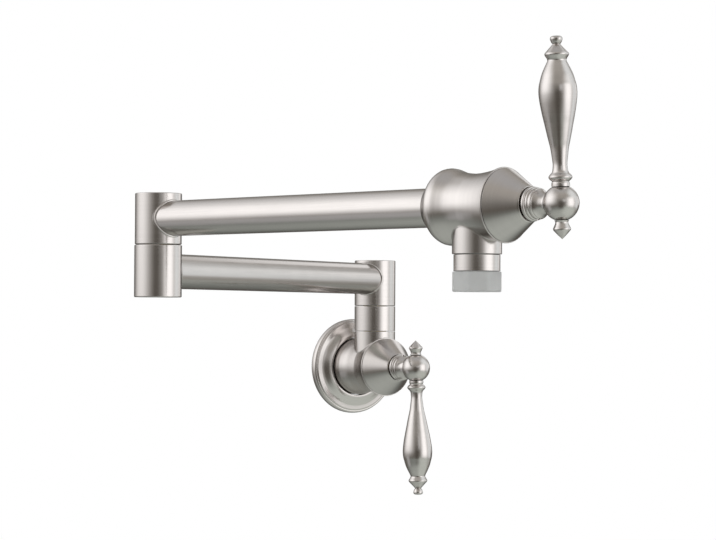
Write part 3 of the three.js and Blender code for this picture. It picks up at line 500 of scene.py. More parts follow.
class Tree:
    """A node tree with short calls to add and link its nodes."""

    def __init__(self, tree):
        self.tree = tree

    def add(self, kind, settings=None, **inputs):
        """A shader node of this kind with its settings, and its inputs set or linked."""
        node = self.tree.nodes.new(f"ShaderNode{kind}")
        for key, value in (settings or {}).items():
            setattr(node, key, value)
        for key, value in inputs.items():
            self.feed(node.inputs[key.replace("_", " ")], value)
        return node

    def feed(self, socket, value):
        if isinstance(value, bpy.types.NodeSocket):
            self.tree.links.new(value, socket)
        else:
            socket.default_value = value

    def math(self, operation, first, second=0.0):
        node = self.add("Math", {"operation": operation})
        self.feed(node.inputs[0], first)
        self.feed(node.inputs[1], second)
        return node.outputs[0]

    def steps(self, value, low, high, to_low, to_high):
        """A value taken smoothly from one range to another."""
        node = self.add("MapRange", {"interpolation_type": "SMOOTHSTEP"}, Value=value)
        for key, number in (("From Min", low), ("From Max", high), ("To Min", to_low), ("To Max", to_high)):
            node.inputs[key].default_value = number
        return node.outputs["Result"]

    def mix(self, factor, first, second):
        """A mix of two colours, which are the Mix node's seventh and eighth inputs and third output."""
        node = self.add("Mix", {"data_type": "RGBA"}, Factor=factor)
        self.feed(node.inputs[6], first)
        self.feed(node.inputs[7], second)
        return node.outputs[2]

    def seen(self):
        """1 for rays that show a surface to the camera, directly, mirrored or through plastic."""
        ray = self.add("LightPath").outputs
        straight = self.math("MAXIMUM", ray["Is Camera Ray"], ray["Is Glossy Ray"])
        return self.math("MAXIMUM", straight, ray["Is Transmission Ray"])

    def ramp(self, value, stops):
        """A ramp of colours at places from 0 to 1."""
        node = self.add("ValToRGB", Fac=value)
        ramp = node.color_ramp
        ramp.interpolation = "LINEAR"
        first, *middle, last = stops
        for element, (position, colour_value) in zip(ramp.elements, (first, last)):
            element.position = position
            element.color = colour_value
        for position, colour_value in middle:
            ramp.elements.new(position).color = colour_value
        return node.outputs["Color"]


def new_group(name, inputs, outputs):
    """A shader node group with its sockets, as (group, tree, input node, output node)."""
    group = bpy.data.node_groups.new(name, "ShaderNodeTree")
    for socket, kind, default in inputs:
        made = group.interface.new_socket(socket, in_out="INPUT", socket_type=kind)
        if default is not None:
            made.default_value = default
    for socket, kind in outputs:
        group.interface.new_socket(socket, in_out="OUTPUT", socket_type=kind)
    return group, Tree(group), group.nodes.new("NodeGroupInput"), group.nodes.new("NodeGroupOutput")


# How much slower lengthwise scratches change along the axis than across it
LENGTHWISE_SCALE = 0.02
CLOUDS_PER_METRE = 70.0
MOTTLES_PER_METRE = 110.0
SCRATCH_SHARE = 0.7  # the rest of the brushing's unevenness is clouds
# What a metal reflects at a grazing angle, against clean metal
EDGE_TINT = 0.6


def brushing_group():
    """Fine scratches that run round an axis or along it, and soft clouds of uneven brushing."""
    name = "brushing"
    if name in bpy.data.node_groups:
        return bpy.data.node_groups[name]
    group, tree, given, out = new_group(
        name,
        [("Vector", "NodeSocketVector", None), ("Lines per metre", "NodeSocketFloat", 1500.0),
         ("Lengthwise", "NodeSocketFloat", 0.0)],
        [("Scratches", "NodeSocketFloat"), ("Clouds", "NodeSocketFloat")])
    parts = tree.add("SeparateXYZ", Vector=given.outputs["Vector"])
    flat = tree.add("CombineXYZ", X=parts.outputs["X"], Y=parts.outputs["Y"])
    radius = tree.add("VectorMath", {"operation": "LENGTH"}, Vector=flat.outputs[0])
    around = tree.add("CombineXYZ", X=radius.outputs["Value"], Z=parts.outputs["Z"])
    squeezed = tree.math("MULTIPLY", parts.outputs["Z"], LENGTHWISE_SCALE)
    lengthwise = tree.add("CombineXYZ", X=parts.outputs["X"], Y=parts.outputs["Y"], Z=squeezed)
    chosen = tree.add("Mix", {"data_type": "VECTOR"}, Factor=given.outputs["Lengthwise"])
    tree.feed(chosen.inputs[4], around.outputs[0])
    tree.feed(chosen.inputs[5], lengthwise.outputs[0])
    lines = tree.add(
        "TexNoise", Vector=chosen.outputs[1], Scale=given.outputs["Lines per metre"],
        Detail=3.0, Roughness=0.7)
    clouds = tree.add("TexNoise", Vector=given.outputs["Vector"], Scale=CLOUDS_PER_METRE, Detail=3.0)
    tree.feed(out.inputs["Scratches"], lines.outputs["Fac"])
    tree.feed(out.inputs["Clouds"], clouds.outputs["Fac"])
    return group


def grain_group():
    """Even fine grain and wide mottling, for moulded and cast surfaces."""
    name = "grain"
    if name in bpy.data.node_groups:
        return bpy.data.node_groups[name]
    group, tree, given, out = new_group(
        name,
        [("Vector", "NodeSocketVector", None), ("Grains per metre", "NodeSocketFloat", 2500.0)],
        [("Grain", "NodeSocketFloat"), ("Mottling", "NodeSocketFloat")])
    fine = tree.add(
        "TexNoise", Vector=given.outputs["Vector"], Scale=given.outputs["Grains per metre"],
        Detail=2.0)
    wide = tree.add("TexNoise", Vector=given.outputs["Vector"], Scale=MOTTLES_PER_METRE, Detail=3.0)
    tree.feed(out.inputs["Grain"], fine.outputs["Fac"])
    tree.feed(out.inputs["Mottling"], wide.outputs["Fac"])
    return group


def new_material(name):
    """A material as (material, tree, its principled shader)."""
    material = bpy.data.materials.new(name)
    material.use_nodes = True
    shader = material.node_tree.nodes["Principled BSDF"]
    return material, Tree(material.node_tree), shader


def shaded(colour_value, level):
    return (*[channel * level for channel in colour_value], 1.0)


def brushed(name, base, roughness, place, lengthwise=False, lines=1500.0, tone=0.04):
    """Brushed metal. The scratches run round the Z axis of the place given, or along it."""
    if name in bpy.data.materials:
        return bpy.data.materials[name]
    material, tree, shader = new_material(name)
    inverse = place.inverted()
    spot = tree.add("TexCoord")
    centred = tree.add(
        "Mapping", Vector=spot.outputs["Object"], Location=inverse.to_translation(),
        Rotation=inverse.to_euler("XYZ"))
    effect = tree.add("Group", {"node_tree": brushing_group()}, Vector=centred.outputs[0])
    effect.inputs["Lines per metre"].default_value = lines
    effect.inputs["Lengthwise"].default_value = float(lengthwise)
    scratches, clouds = effect.outputs["Scratches"], effect.outputs["Clouds"]
    blend = tree.math(
        "ADD", tree.math("MULTIPLY", scratches, SCRATCH_SHARE),
        tree.math("MULTIPLY", clouds, 1 - SCRATCH_SHARE))
    depth = tree.steps(blend, 0.3, 0.7, 0.0, 1.0)
    tree.feed(
        shader.inputs["Base Color"],
        tree.mix(depth, shaded(base, 1 - tone), shaded([min(1, c * (1 + tone)) for c in base], 1)))
    spread = 0.03
    rough = tree.steps(blend, 0.25, 0.75, roughness - spread, roughness + spread)
    tree.feed(shader.inputs["Roughness"], rough)
    bump = tree.add("Bump", Strength=0.06, Distance=0.00002, Height=scratches)
    tree.feed(shader.inputs["Normal"], bump.outputs["Normal"])
    shader.inputs["Metallic"].default_value = 1.0
    shader.inputs["Specular Tint"].default_value = shaded((1, 1, 1), EDGE_TINT)
    return material


def nickel(name, place, lengthwise=False):
    return brushed(f"nickel_{name}", finish().nickel, finish().nickel_roughness, place, lengthwise)


def moulded(name, base, roughness, grains, bump_depth, transmission=0.0, tone=0.08):
    """Moulded rubber, plastic or ceramic."""
    if name in bpy.data.materials:
        return bpy.data.materials[name]
    material, tree, shader = new_material(name)
    spot = tree.add("TexCoord")
    effect = tree.add("Group", {"node_tree": grain_group()}, Vector=spot.outputs["Object"])
    effect.inputs["Grains per metre"].default_value = grains
    mottling = tree.steps(effect.outputs["Mottling"], 0.3, 0.7, 0.0, 1.0)
    light = [min(1, channel * (1 + tone)) for channel in base]
    tree.feed(shader.inputs["Base Color"], tree.mix(mottling, shaded(base, 1 - tone), shaded(light, 1)))
    smoother, rougher = 0.05, 0.08
    rough = tree.steps(effect.outputs["Grain"], 0.2, 0.8, roughness - smoother, roughness + rougher)
    tree.feed(shader.inputs["Roughness"], rough)
    bump = tree.add("Bump", Strength=0.2, Distance=bump_depth, Height=effect.outputs["Grain"])
    tree.feed(shader.inputs["Normal"], bump.outputs["Normal"])
    shader.inputs["Transmission Weight"].default_value = transmission
    return material


def rubber():
    return moulded("rubber_seal", finish().rubber, 0.6, 3000.0, 0.00003)


def frosted():
    return moulded("frosted_nozzle", finish().plastic, 0.38, 1800.0, 0.00002, transmission=0.35, tone=0.04)


# ---- pieces ----


class PotFillerOperator:
    """Shared behaviour of the building steps."""

    bl_options = {"REGISTER", "UNDO"}

    def execute(self, context):
        self.build(context.scene.pot_filler_sizes)
        return {"FINISHED"}


class POTFILLER_OT_flange(PotFillerOperator, bpy.types.Operator):
    """Wall flange with its dished face, the grip ring round the barrel and the gasket behind it"""

    bl_idname = "pot_filler.flange"
    bl_label = "Wall flange"

    def build(self, s):
        place = placed(Vector((0, 0, 0)), Vector((1, 0, 0)), UP, WALL_FRONT)
        back = mm((32.8, 0), (34.7, 0))
        rim = smooth(mm((34.9, 0.5), (35.0, 1.8), (34.95, 3.2), (34.7, 4.3), (34.2, 4.95), (33.6, 5.2)))
        groove = mm((33.2, 5.1), (32.95, 5.3))
        lip = smooth(mm((32.85, 5.6), (32.5, 5.85), (31.9, 6.0)))
        dish = smooth(mm((29.6, 6.4), (28.0, 7.0), (26.4, 7.9), (24.9, 8.75), (23.5, 9.3)))
        crown = mm((22.6, 9.52), (22.0, 9.55), (21.6, 9.2))
        inside = mm(
            (21.6, 7.7), (23.5, 7.7), (23.5, 5.2), (21.6, 5.2), (21.6, 4.2), (24.2, 4.2), (30.2, 5.2),
            (32.8, 3.9))
        outline = [*back, *rim, *groove, *lip, *dish, *crown, *inside]
        metal = nickel("wall_axis", wall_place())
        add_piece("wall_flange", turned(outline, s.fine_edge), place, metal)
        grip = extent("flange_grip_ring", 1) / 2
        middle = Vector((extent("flange_grip_ring", 0) / 2 - grip, -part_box("flange_grip_ring")[1].y + grip))
        last = 360 - 360 / GRIP_STEPS
        grip_ring = turned(arc(middle, grip, 0, last, GRIP_STEPS - 1))
        add_piece("flange_grip_ring", grip_ring, place, rubber())
        outer, width = extent("flange_gasket", 0) / 2, 4.6 * MM
        gasket = ring(outer - width, outer, 0, extent("flange_gasket", 1), s.edge)
        add_piece("flange_gasket", gasket, place, rubber())


def seam_flare(s, waist_at):
    """The outline from the waist to the seam with the cone, and the nose that the cone screws on.

    The shares are of the step from the waist to the seam, in radius and in height.
    """
    shares = [(0, 0), (0.025, 0.13), (0.1, 0.28), (0.36, 0.55), (0.69, 0.78), (0.98, 0.94)]
    waist, seam = 18.3 * MM, 21.0 * MM
    flare = smooth(between(Vector((waist, waist_at)), Vector((seam, 0)), shares))
    edge = smooth(mm((21.0, -1.1), (21.25, -0.85), (21.3, -0.5), (21.2, -0.15), (20.95, 0)), 2)
    return [*flare, *edge], metres((s.nose, 0), (s.nose, s.nose_length), (0, s.nose_length))


def saddle(profile, boss_radius, height, side):
    """The line where a boss along Y crosses a barrel about Z, above or below the barrel's axis."""
    def place(across, along):
        rise = math.sqrt(radius_at(profile, height + along) ** 2 - across**2)
        return Vector((across, side * rise, height + along))

    return round_line(boss_radius, place)


class POTFILLER_OT_wall_valve(PotFillerOperator, bpy.types.Operator):
    """Wall valve body: barrel, tee and threaded inlet"""

    bl_idname = "pot_filler.wall_valve"
    bl_label = "Wall valve body"

    def build(self, s):
        place = wall_place()
        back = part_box("valve_body")[1].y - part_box("wall_cone")[1].y - s.gap
        post_at = WALL_FRONT.dot(POST) - WALL_FRONT.dot(place.to_translation())
        bow = smooth(mm((20.9, -36.9), (20.5, -34.2), (19.7, -30.0), (18.85, -24.3), (18.3, -15.9)))
        flare, nose = seam_flare(s, post_at)
        profile = [Vector((bow[0].x, -back)), *bow, *flare[1:]]
        outline = [Vector((0, -back)), *profile, *nose]
        tee_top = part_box("valve_body")[1].z
        tee = along_y(rod(HUB_RADIUS, 0, tee_top, s.edge), post_at)
        body = join(turned(outline, s.fine_edge), tee, bead(saddle(profile, HUB_RADIUS, post_at, 1), s.weld))
        thread = self.thread(s, -back)
        inlet_end = -back + s.inlet_depth
        waterway = drill(s.waterway, inlet_end - OVERRUN, OVERRUN - s.valve_depth)
        chamber = drill(s.valve_bore, -s.valve_depth, s.nose_length + OVERRUN)
        hole = along_y(drill(s.spigot_hole, tee_top - s.spigot_depth, tee_top + OVERRUN), post_at)
        riser = along_y(drill(s.waterway, 0, tee_top), post_at)
        body = cut(body, thread, waterway, chamber, hole, riser)
        add_piece("valve_body", body, place, nickel("wall_axis", place))

    def thread(self, s, back):
        """The inlet's hole with the ridges of its thread."""
        lead_in, mouth_depth, groove, run_out = 0.9 * MM, 0.2 * MM, 0.8 * MM, 1.2 * MM
        mouth = s.inlet + lead_in
        outline = metres((0, back - OVERRUN), (mouth, back - OVERRUN), (mouth, back + mouth_depth))
        for turn in range(int((s.inlet_depth - 2 * MM) / s.thread_pitch)):
            low = back + lead_in + turn * s.thread_pitch
            outline += metres((s.inlet, low), (s.inlet + groove, low + s.thread_pitch / 2))
        end = back + s.inlet_depth
        outline += metres((s.inlet, end - run_out), (s.inlet, end), (0, end))
        return turned(outline, steps=TUBE_STEPS)


def cone_solid(s):
    """The cone in front of a valve body, hollow for the nose, the cartridge and the stem."""
    outline = [
        *mm((14.5, 0.3), (20.7, 0.3), (20.75, 0.4), (20.6, 0.65)),
        *mm((10.35, 17.2), (10.0, 17.75), (9.7, 18.0), (9.3, 17.8), (9.0, 16.8), (4.9, 16.8), (4.3, 16.4)),
        *mm((4.3, 12.9), (7.7, 12.9), (7.7, 9.3), (12.3, 9.3), (12.3, 5.6), (14.5, 5.6)),
    ]
    return turned(outline, s.fine_edge)


class POTFILLER_OT_cones(PotFillerOperator, bpy.types.Operator):
    """The two turned cones in front of the valve bodies"""

    bl_idname = "pot_filler.cones"
    bl_label = "Cones"

    def build(self, s):
        for node, axis, place in (
            ("wall_cone", "wall_axis", wall_place()),
            ("spout_cone", "spout_axis", spout_place()),
        ):
            add_piece(node, cone_solid(s), place, nickel(axis, place))


def with_tube_socket(s, hub, height, side):
    """A hub with the rounded lip, the socket and the waterway of a tube on its +X or -X side."""
    reach = 2 * HUB_RADIUS
    low, high = (0, reach) if side > 0 else (-reach, 0)
    socket = TUBE_RADIUS + s.lip_fit
    crest = HUB_RADIUS + s.lip_height - s.lip_width
    collar = along_x(rod(socket + s.lip_width, low, high), height)
    shell = lifted(ring(s.chamber + s.gap, crest, -reach, reach), height)

    def place(across, along):
        return Vector((side * math.sqrt(crest**2 - across**2), across, height + along))

    lip = bead(round_line(socket, place), s.lip_width)
    body = join(hub, common(collar, shell), lip)
    hole = along_x(rod(socket, low, high), height)
    core = lifted(rod(HUB_RADIUS - s.socket_seat, -reach, reach), height)
    return cut(body, cut(hole, core), along_x(drill(s.waterway, low, high), height))


def turning_hub(s, node, tube_height):
    """A hub that turns on its spigot, open above for its cap. Z = 0 is the running seam."""
    above = extent(node, 2)
    outline = metres(
        (s.bore, 0), (HUB_RADIUS, 0), (HUB_RADIUS, above), (s.chamber, above), (s.chamber, s.shoulder),
        (s.bore, s.shoulder))
    washer_radius, washer_depth = 13.5 * MM, 1.1 * MM
    recess = rod(washer_radius, -OVERRUN, washer_depth)
    return cut(with_tube_socket(s, turned(outline, 2 * s.edge), tube_height, 1), recess)


def cap_solid(s, above):
    """The cap that closes a hub's top, with its seal groove."""
    radius = s.chamber - s.gap
    groove_floor = radius - 1.5 * MM
    low = above - s.cap
    groove_low, groove_high = low + 1.1 * MM, low + 2.9 * MM
    outline = metres(
        (0, low), (radius, low), (radius, groove_low), (groove_floor, groove_low),
        (groove_floor, groove_high), (radius, groove_high), (radius, above), (0, above))
    return turned(outline, s.fine_edge)


class POTFILLER_OT_post(PotFillerOperator, bpy.types.Operator):
    """Post collar, the hub that turns on it and the hub's cap"""

    bl_idname = "pot_filler.post"
    bl_label = "Post"

    def build(self, s):
        metal = nickel("post", upright(POST))
        low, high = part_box("post_collar")
        collar = ring(s.bore, HUB_RADIUS, low.z, high.z, s.edge)
        add_piece("post_collar", collar, upright(Vector((POST.x, POST.y, 0))), metal)
        place = inner_place(POST_SEAM_Z)
        add_piece("post_hub", turning_hub(s, "post_hub", POST.z - POST_SEAM_Z), place, metal)
        add_piece("post_hub_cap", cap_solid(s, extent("post_hub", 2)), place, metal)


def tube_solid(s, end, height, copes):
    """An arm's tube along +X, coped to the hubs that stand at these places."""
    outside = along_x(rod(TUBE_RADIUS, 0, end), height)
    inside = along_x(rod(TUBE_RADIUS - s.tube_wall, -OVERRUN, end + OVERRUN), height)
    cope = HUB_RADIUS - s.socket_seat + s.gap
    half = 2 * HUB_RADIUS
    hubs = [moved(rod(cope, -half, half), Matrix.Translation((x, 0, height))) for x in copes]
    return cut(outside, inside, *hubs)


class POTFILLER_OT_arms(PotFillerOperator, bpy.types.Operator):
    """The two arm tubes"""

    bl_idname = "pot_filler.arms"
    bl_label = "Arm tubes"

    def build(self, s):
        place = inner_place(POST.z)
        metal = nickel("inner_arm", place @ Matrix.Rotation(math.pi / 2, 4, "Y"), lengthwise=True)
        add_piece("inner_tube", tube_solid(s, INNER_REACH, 0, [0, INNER_REACH]), place, metal)
        place = outer_place(OUTLET.z)
        metal = nickel("outer_arm", place @ Matrix.Rotation(math.pi / 2, 4, "Y"), lengthwise=True)
        socket_floor = OUTER_REACH - 18.8 * MM
        add_piece("outer_tube", tube_solid(s, socket_floor, 0, [0]), place, metal)


class POTFILLER_OT_elbow(PotFillerOperator, bpy.types.Operator):
    """Elbow: the lower and upper hubs of the knuckle and the cap on top"""

    bl_idname = "pot_filler.elbow"
    bl_label = "Elbow"

    def build(self, s):
        metal = nickel("elbow", upright(ELBOW))
        height = ELBOW.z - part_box("elbow_lower_hub")[0].z
        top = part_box("elbow_lower_hub")[1].z - ELBOW.z
        tube_drop = ELBOW.z - POST.z
        step_out = 0.25 * MM
        block = rod(HUB_RADIUS + step_out, -height, top, 2 * s.edge)
        bore = drill(s.spigot_hole, -s.spigot_depth, OVERRUN)
        well = drill(s.waterway, -tube_drop - s.waterway - s.gap, 0)
        lower = cut(with_tube_socket(s, block, -tube_drop, -1), bore, well)
        reach = Matrix.Translation((INNER_REACH, 0, 0))
        add_piece("elbow_lower_hub", lower, inner_place(ELBOW.z) @ reach, metal)
        place = outer_place(ELBOW.z)
        add_piece("elbow_upper_hub", turning_hub(s, "elbow_upper_hub", OUTLET.z - ELBOW.z), place, metal)
        add_piece("elbow_hub_cap", cap_solid(s, extent("elbow_upper_hub", 2)), place, metal)


class POTFILLER_OT_spout(PotFillerOperator, bpy.types.Operator):
    """Spout body: the barrel with its domed back and the outlet boss below it"""

    bl_idname = "pot_filler.spout"
    bl_label = "Spout body"

    def build(self, s):
        place = spout_place()
        outlet_at = -s.outlet_behind_seam
        dome_end = outlet_at - 31 * MM
        dome = smooth(mm((13.15, -52.9), (14.3, -52.65), (15.1, -51.4), (16.4, -49.5), (18.6, -47.0),
                         (20.7, -44.8), (21.75, -42.6), (22.0, -40.4)))
        bow = smooth(mm((22.0, -40.4), (21.6, -38.1), (20.5, -34.9), (19.4, -31.2), (18.75, -27.0),
                        (18.3, -21.9)))
        flare, nose = seam_flare(s, outlet_at)
        profile = [*dome, *bow[1:], *flare[1:]]
        outline = [Vector((0, dome_end)), *profile, *nose]
        drop = OUTLET.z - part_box("spout_body")[0].z
        boss = along_y(rod(s.outlet_radius, -drop, 0, s.edge), outlet_at)
        ridge = bead(saddle(profile, s.outlet_radius, outlet_at, -1), s.weld)
        body = join(turned(outline, s.fine_edge), boss, ridge)
        socket_depth = 12.5 * MM
        socket = rod(TUBE_RADIUS + s.gap, dome_end - OVERRUN, dome_end + socket_depth)
        waterway = drill(s.waterway, dome_end, OVERRUN - s.valve_depth)
        chamber = drill(s.valve_bore, -s.valve_depth, s.nose_length + OVERRUN)
        outlet = along_y(drill(s.waterway, -drop, 0), outlet_at)
        thread_radius, thread_depth = 12.1 * MM, 10.7 * MM
        thread = along_y(rod(thread_radius, -drop - OVERRUN, thread_depth - drop), outlet_at)
        body = cut(body, socket, waterway, chamber, outlet, thread)
        add_piece("spout_body", body, place, nickel("spout_axis", place))


def seat_arc(s, outer):
    """The seat hollowed to the ball, from the outer radius in to the tenon, about the ball's centre."""
    radius = s.ball + s.gap
    first, last = [math.degrees(math.acos(edge / radius)) for edge in (outer, s.tenon)]
    return arc(Vector((0, 0)), radius, first, last, SEAT_STEPS)


def seated(s, outer):
    """The tenon and the seat of a piece that stands on the ball, outwards from the axis."""
    return [*metres((0, s.tenon_inside), (s.tenon, s.tenon_inside)), *seat_arc(s, outer)[::-1]]


def lever_solid(s):
    """The turned lever, from its tenon to its tip. Z = 0 is the ball's centre."""
    foot = mm((5.05, 10.4), (4.95, 11.0), (4.7, 11.5))
    collar = smooth(mm((4.75, 11.75), (5.65, 12.5), (6.4, 13.4), (6.5, 14.2), (6.1, 15.0), (5.5, 15.7)))
    grip = smooth(mm((4.75, 16.4), (4.3, 17.6), (4.02, 20.2), (4.1, 22.4), (4.55, 26.0), (5.15, 30.2),
                     (6.05, 34.2), (7.0, 38.6), (7.9, 43.0), (8.85, 47.4), (9.65, 51.7), (10.3, 56.0),
                     (10.6, 60.0), (10.35, 63.6), (9.75, 66.2), (8.7, 69.9), (7.3, 73.2), (5.9, 76.0),
                     (5.3, 77.3)))
    knob = smooth(mm((5.25, 78.0), (5.7, 78.9), (6.3, 79.8), (6.72, 80.7), (6.5, 81.6), (5.7, 82.5),
                     (4.5, 83.8), (3.3, 85.1), (2.3, 86.2)))
    button = smooth(mm((2.15, 86.5), (2.7, 87.1), (3.15, 88.1), (3.42, 89.2), (3.25, 90.1), (2.5, 90.75),
                       (1.2, 90.98), (0, 91.0)))
    outline = [*seated(s, foot[0].x), *foot, *collar, *grip, *knob, *button]
    return turned(outline, steps=TUBE_STEPS)


def finial_solid(s):
    """The small turned finial opposite the lever. Z = 0 is the ball's centre."""
    foot = mm((4.05, 9.5), (3.7, 10.1))
    body = smooth(mm((3.55, 10.4), (3.7, 11.3), (4.2, 12.5), (4.75, 13.6), (4.92, 14.3), (4.7, 15.0)))
    tip = smooth(mm((4.05, 15.7), (3.07, 16.8), (2.0, 17.9), (0.9, 18.95), (0.4, 19.5), (0, 19.8)))
    seat_radius = 4.1 * MM
    return turned([*seated(s, seat_radius), *foot, *body, *tip], steps=SMALL_STEPS)


def handle_hub_solid(s):
    """Three fine rings and a bell neck up to the ball. Z = 0 is the seam plane."""
    rings = [
        *smooth(mm((9.35, 18.9), (9.65, 19.6), (9.7, 20.3), (9.45, 20.9))),
        *mm((9.0, 21.15)), *smooth(mm((9.05, 21.5), (9.2, 22.1), (9.1, 22.7))),
        *mm((8.6, 23.1)), *smooth(mm((8.65, 23.5), (8.75, 24.3), (8.6, 25.0))),
        *mm((8.1, 25.4), (8.1, 25.7)),
    ]
    neck = smooth(mm((7.9, 26.0), (7.1, 27.0), (6.3, 28.4), (5.8, 29.9), (5.6, 30.8), (5.6, 31.5)))
    front = [Vector((point.x, s.ball_from_seam - point.y)) for point in seated(s, neck[-1].x)[::-1]]
    back = mm((0, 18.6), (9.0, 18.6))
    stem_end = 27.7 * MM
    outline = [*back, *rings, *neck, *front]
    stem_hole = drill(s.stem_hole, back[0].y - OVERRUN, stem_end)
    screw_hole = along_x(drill(s.screw_radius + s.gap, -2 * s.ball, 0), s.screw_at)
    return cut(turned(outline, steps=TUBE_STEPS), stem_hole, screw_hole)


def ball_solid(s):
    """The handle's ball with the holes for three tenons. Z = 0 is its centre and +Z the lever's way."""
    ball = bmesh.new()
    bmesh.ops.create_uvsphere(ball, u_segments=TUBE_STEPS, v_segments=SMALL_STEPS, radius=s.ball)
    end, out, hole = s.tenon_inside - s.gap, 2 * s.ball, s.tenon + s.gap
    return cut(ball, drill(hole, end, out), drill(hole, -out, -end), along_x(drill(hole, end, out)))


def set_screw_solid(s):
    """A grub screw with a hexagon socket, along -X from the handle's axis."""
    head, socket_depth = -7.9 * MM, 1.5 * MM
    screw = rod(s.screw_radius, head, -s.stem_hole, s.fine_edge, SMALL_STEPS)
    socket = rod(s.screw_socket, head - OVERRUN, head + socket_depth, steps=6)
    return along_x(cut(screw, socket), s.screw_at)


class POTFILLER_OT_handles(PotFillerOperator, bpy.types.Operator):
    """The two handles: hub, ball, lever, finial and set screw"""

    bl_idname = "pot_filler.handles"
    bl_label = "Handles"

    def build(self, s):
        for prefix, valve, turn in (
            ("wall", wall_place(), s.wall_lever),
            ("spout", spout_place(), s.spout_lever),
        ):
            hub_place, ball_place = handle_place(valve, turn), lever_place(valve, turn)
            down = ball_place @ Matrix.Rotation(math.pi, 4, "X")
            around_valve = nickel(f"{prefix}_axis", valve)
            around_lever = nickel(f"{prefix}_lever", ball_place)
            add_piece(f"{prefix}_handle_hub", handle_hub_solid(s), hub_place, around_valve)
            add_piece(f"{prefix}_handle_ball", ball_solid(s), ball_place, around_lever)
            add_piece(f"{prefix}_lever", lever_solid(s), ball_place, around_lever)
            add_piece(f"{prefix}_ball_finial", finial_solid(s), down, around_lever)
            steel = brushed("steel_screw", finish().steel, 0.3, valve)
            add_piece(f"{prefix}_set_screw", set_screw_solid(s), hub_place, steel)


def outlet_place(height):
    return upright(Vector((OUTLET.x, OUTLET.y, height)), OUTLET - ELBOW)


def screen_solid(s, radius, thickness):
    """A net of wires in a rim."""
    wire, rim_width, overlap = 0.44 * MM, 1.8 * MM, 0.6 * MM
    net = bmesh.new()
    count = int(2 * radius / s.screen_pitch)
    bmesh.ops.create_grid(net, x_segments=count, y_segments=count, size=radius)
    edge = radius - rim_width + overlap
    outside = [face for face in net.faces if face.calc_center_median().length > edge]
    bmesh.ops.delete(net, geom=outside, context="FACES")
    holes = net.faces[:]
    bmesh.ops.inset_individual(net, faces=holes, thickness=wire / 2, use_even_offset=True)
    bmesh.ops.delete(net, geom=holes, context="FACES_ONLY")
    bmesh.ops.solidify(net, geom=net.faces[:], thickness=thickness / 2)
    lifted(net, thickness / 2)
    bmesh.ops.recalc_face_normals(net, faces=net.faces)
    rim = as_mesh("rim", ring(radius - rim_width, radius, 0, thickness, s.fine_edge, TUBE_STEPS))
    net.from_mesh(rim)
    bpy.data.meshes.remove(rim)
    return net


class POTFILLER_OT_aerator(PotFillerOperator, bpy.types.Operator):
    """Aerator: shell, screen and the eight sided plastic nozzle"""

    bl_idname = "pot_filler.aerator"
    bl_label = "Aerator"

    def build(self, s):
        low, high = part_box("aerator_shell")
        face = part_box("spout_body")[0].z - s.gap
        bore, radius, thread = 10.3 * MM, 13.2 * MM, 11.8 * MM
        outline = metres(
            (bore, low.z), (radius, low.z), (radius, face), (thread, face), (thread, high.z),
            (bore, high.z))
        metal = nickel("outlet", outlet_place(0))
        add_piece("aerator_shell", turned(outline, s.edge), outlet_place(0), metal)
        screen_low, screen_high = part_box("aerator_screen")
        place = outlet_place(screen_low.z)
        thickness = screen_high.z - screen_low.z
        steel = brushed("steel_screen", finish().steel, 0.3, place)
        add_piece("aerator_screen", screen_solid(s, s.nozzle_sleeve, thickness), place, steel)
        self.nozzle(s)

    def nozzle(self, s):
        """The nozzle: an eight sided foot and a sleeve that goes up into the shell."""
        low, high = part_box("aerator_nozzle")
        half_side = math.pi / NOZZLE_SIDES
        corner = s.nozzle_flats / 2 / math.cos(half_side)
        corner_edge, foot_edge, head_edge, mouth_edge = 1.1 * MM, 0.8 * MM, 0.35 * MM, 0.8 * MM
        prism = bmesh.new()
        bmesh.ops.create_cone(
            prism, cap_ends=True, segments=NOZZLE_SIDES, radius1=corner, radius2=corner,
            depth=s.nozzle_height, matrix=Matrix.Rotation(half_side, 4, "Z"))
        lifted(prism, s.nozzle_height / 2)
        uprights = [edge for edge in prism.edges if abs(edge.verts[0].co.z - edge.verts[1].co.z) > MM]
        bevelled(prism, uprights, corner_edge, segments=4)
        for height, width in ((0, foot_edge), (s.nozzle_height, head_edge)):
            level = [edge for edge in prism.edges if all(
                abs(vert.co.z - height) < MM for vert in edge.verts)]
            bevelled(prism, level, width)
        bmesh.ops.recalc_face_normals(prism, faces=prism.faces)
        sleeve = rod(s.nozzle_sleeve, s.nozzle_height - OVERRUN, high.z - low.z, s.fine_edge)
        bore = s.nozzle_sleeve - s.nozzle_wall
        mouth = bore + mouth_edge
        hollow = metres(
            (0, -OVERRUN), (mouth, -OVERRUN), (mouth, 0), (bore, mouth_edge), (bore, high.z), (0, high.z))
        solid = cut(join(prism, sleeve), turned(hollow))
        add_piece("aerator_nozzle", solid, outlet_place(low.z), frosted())


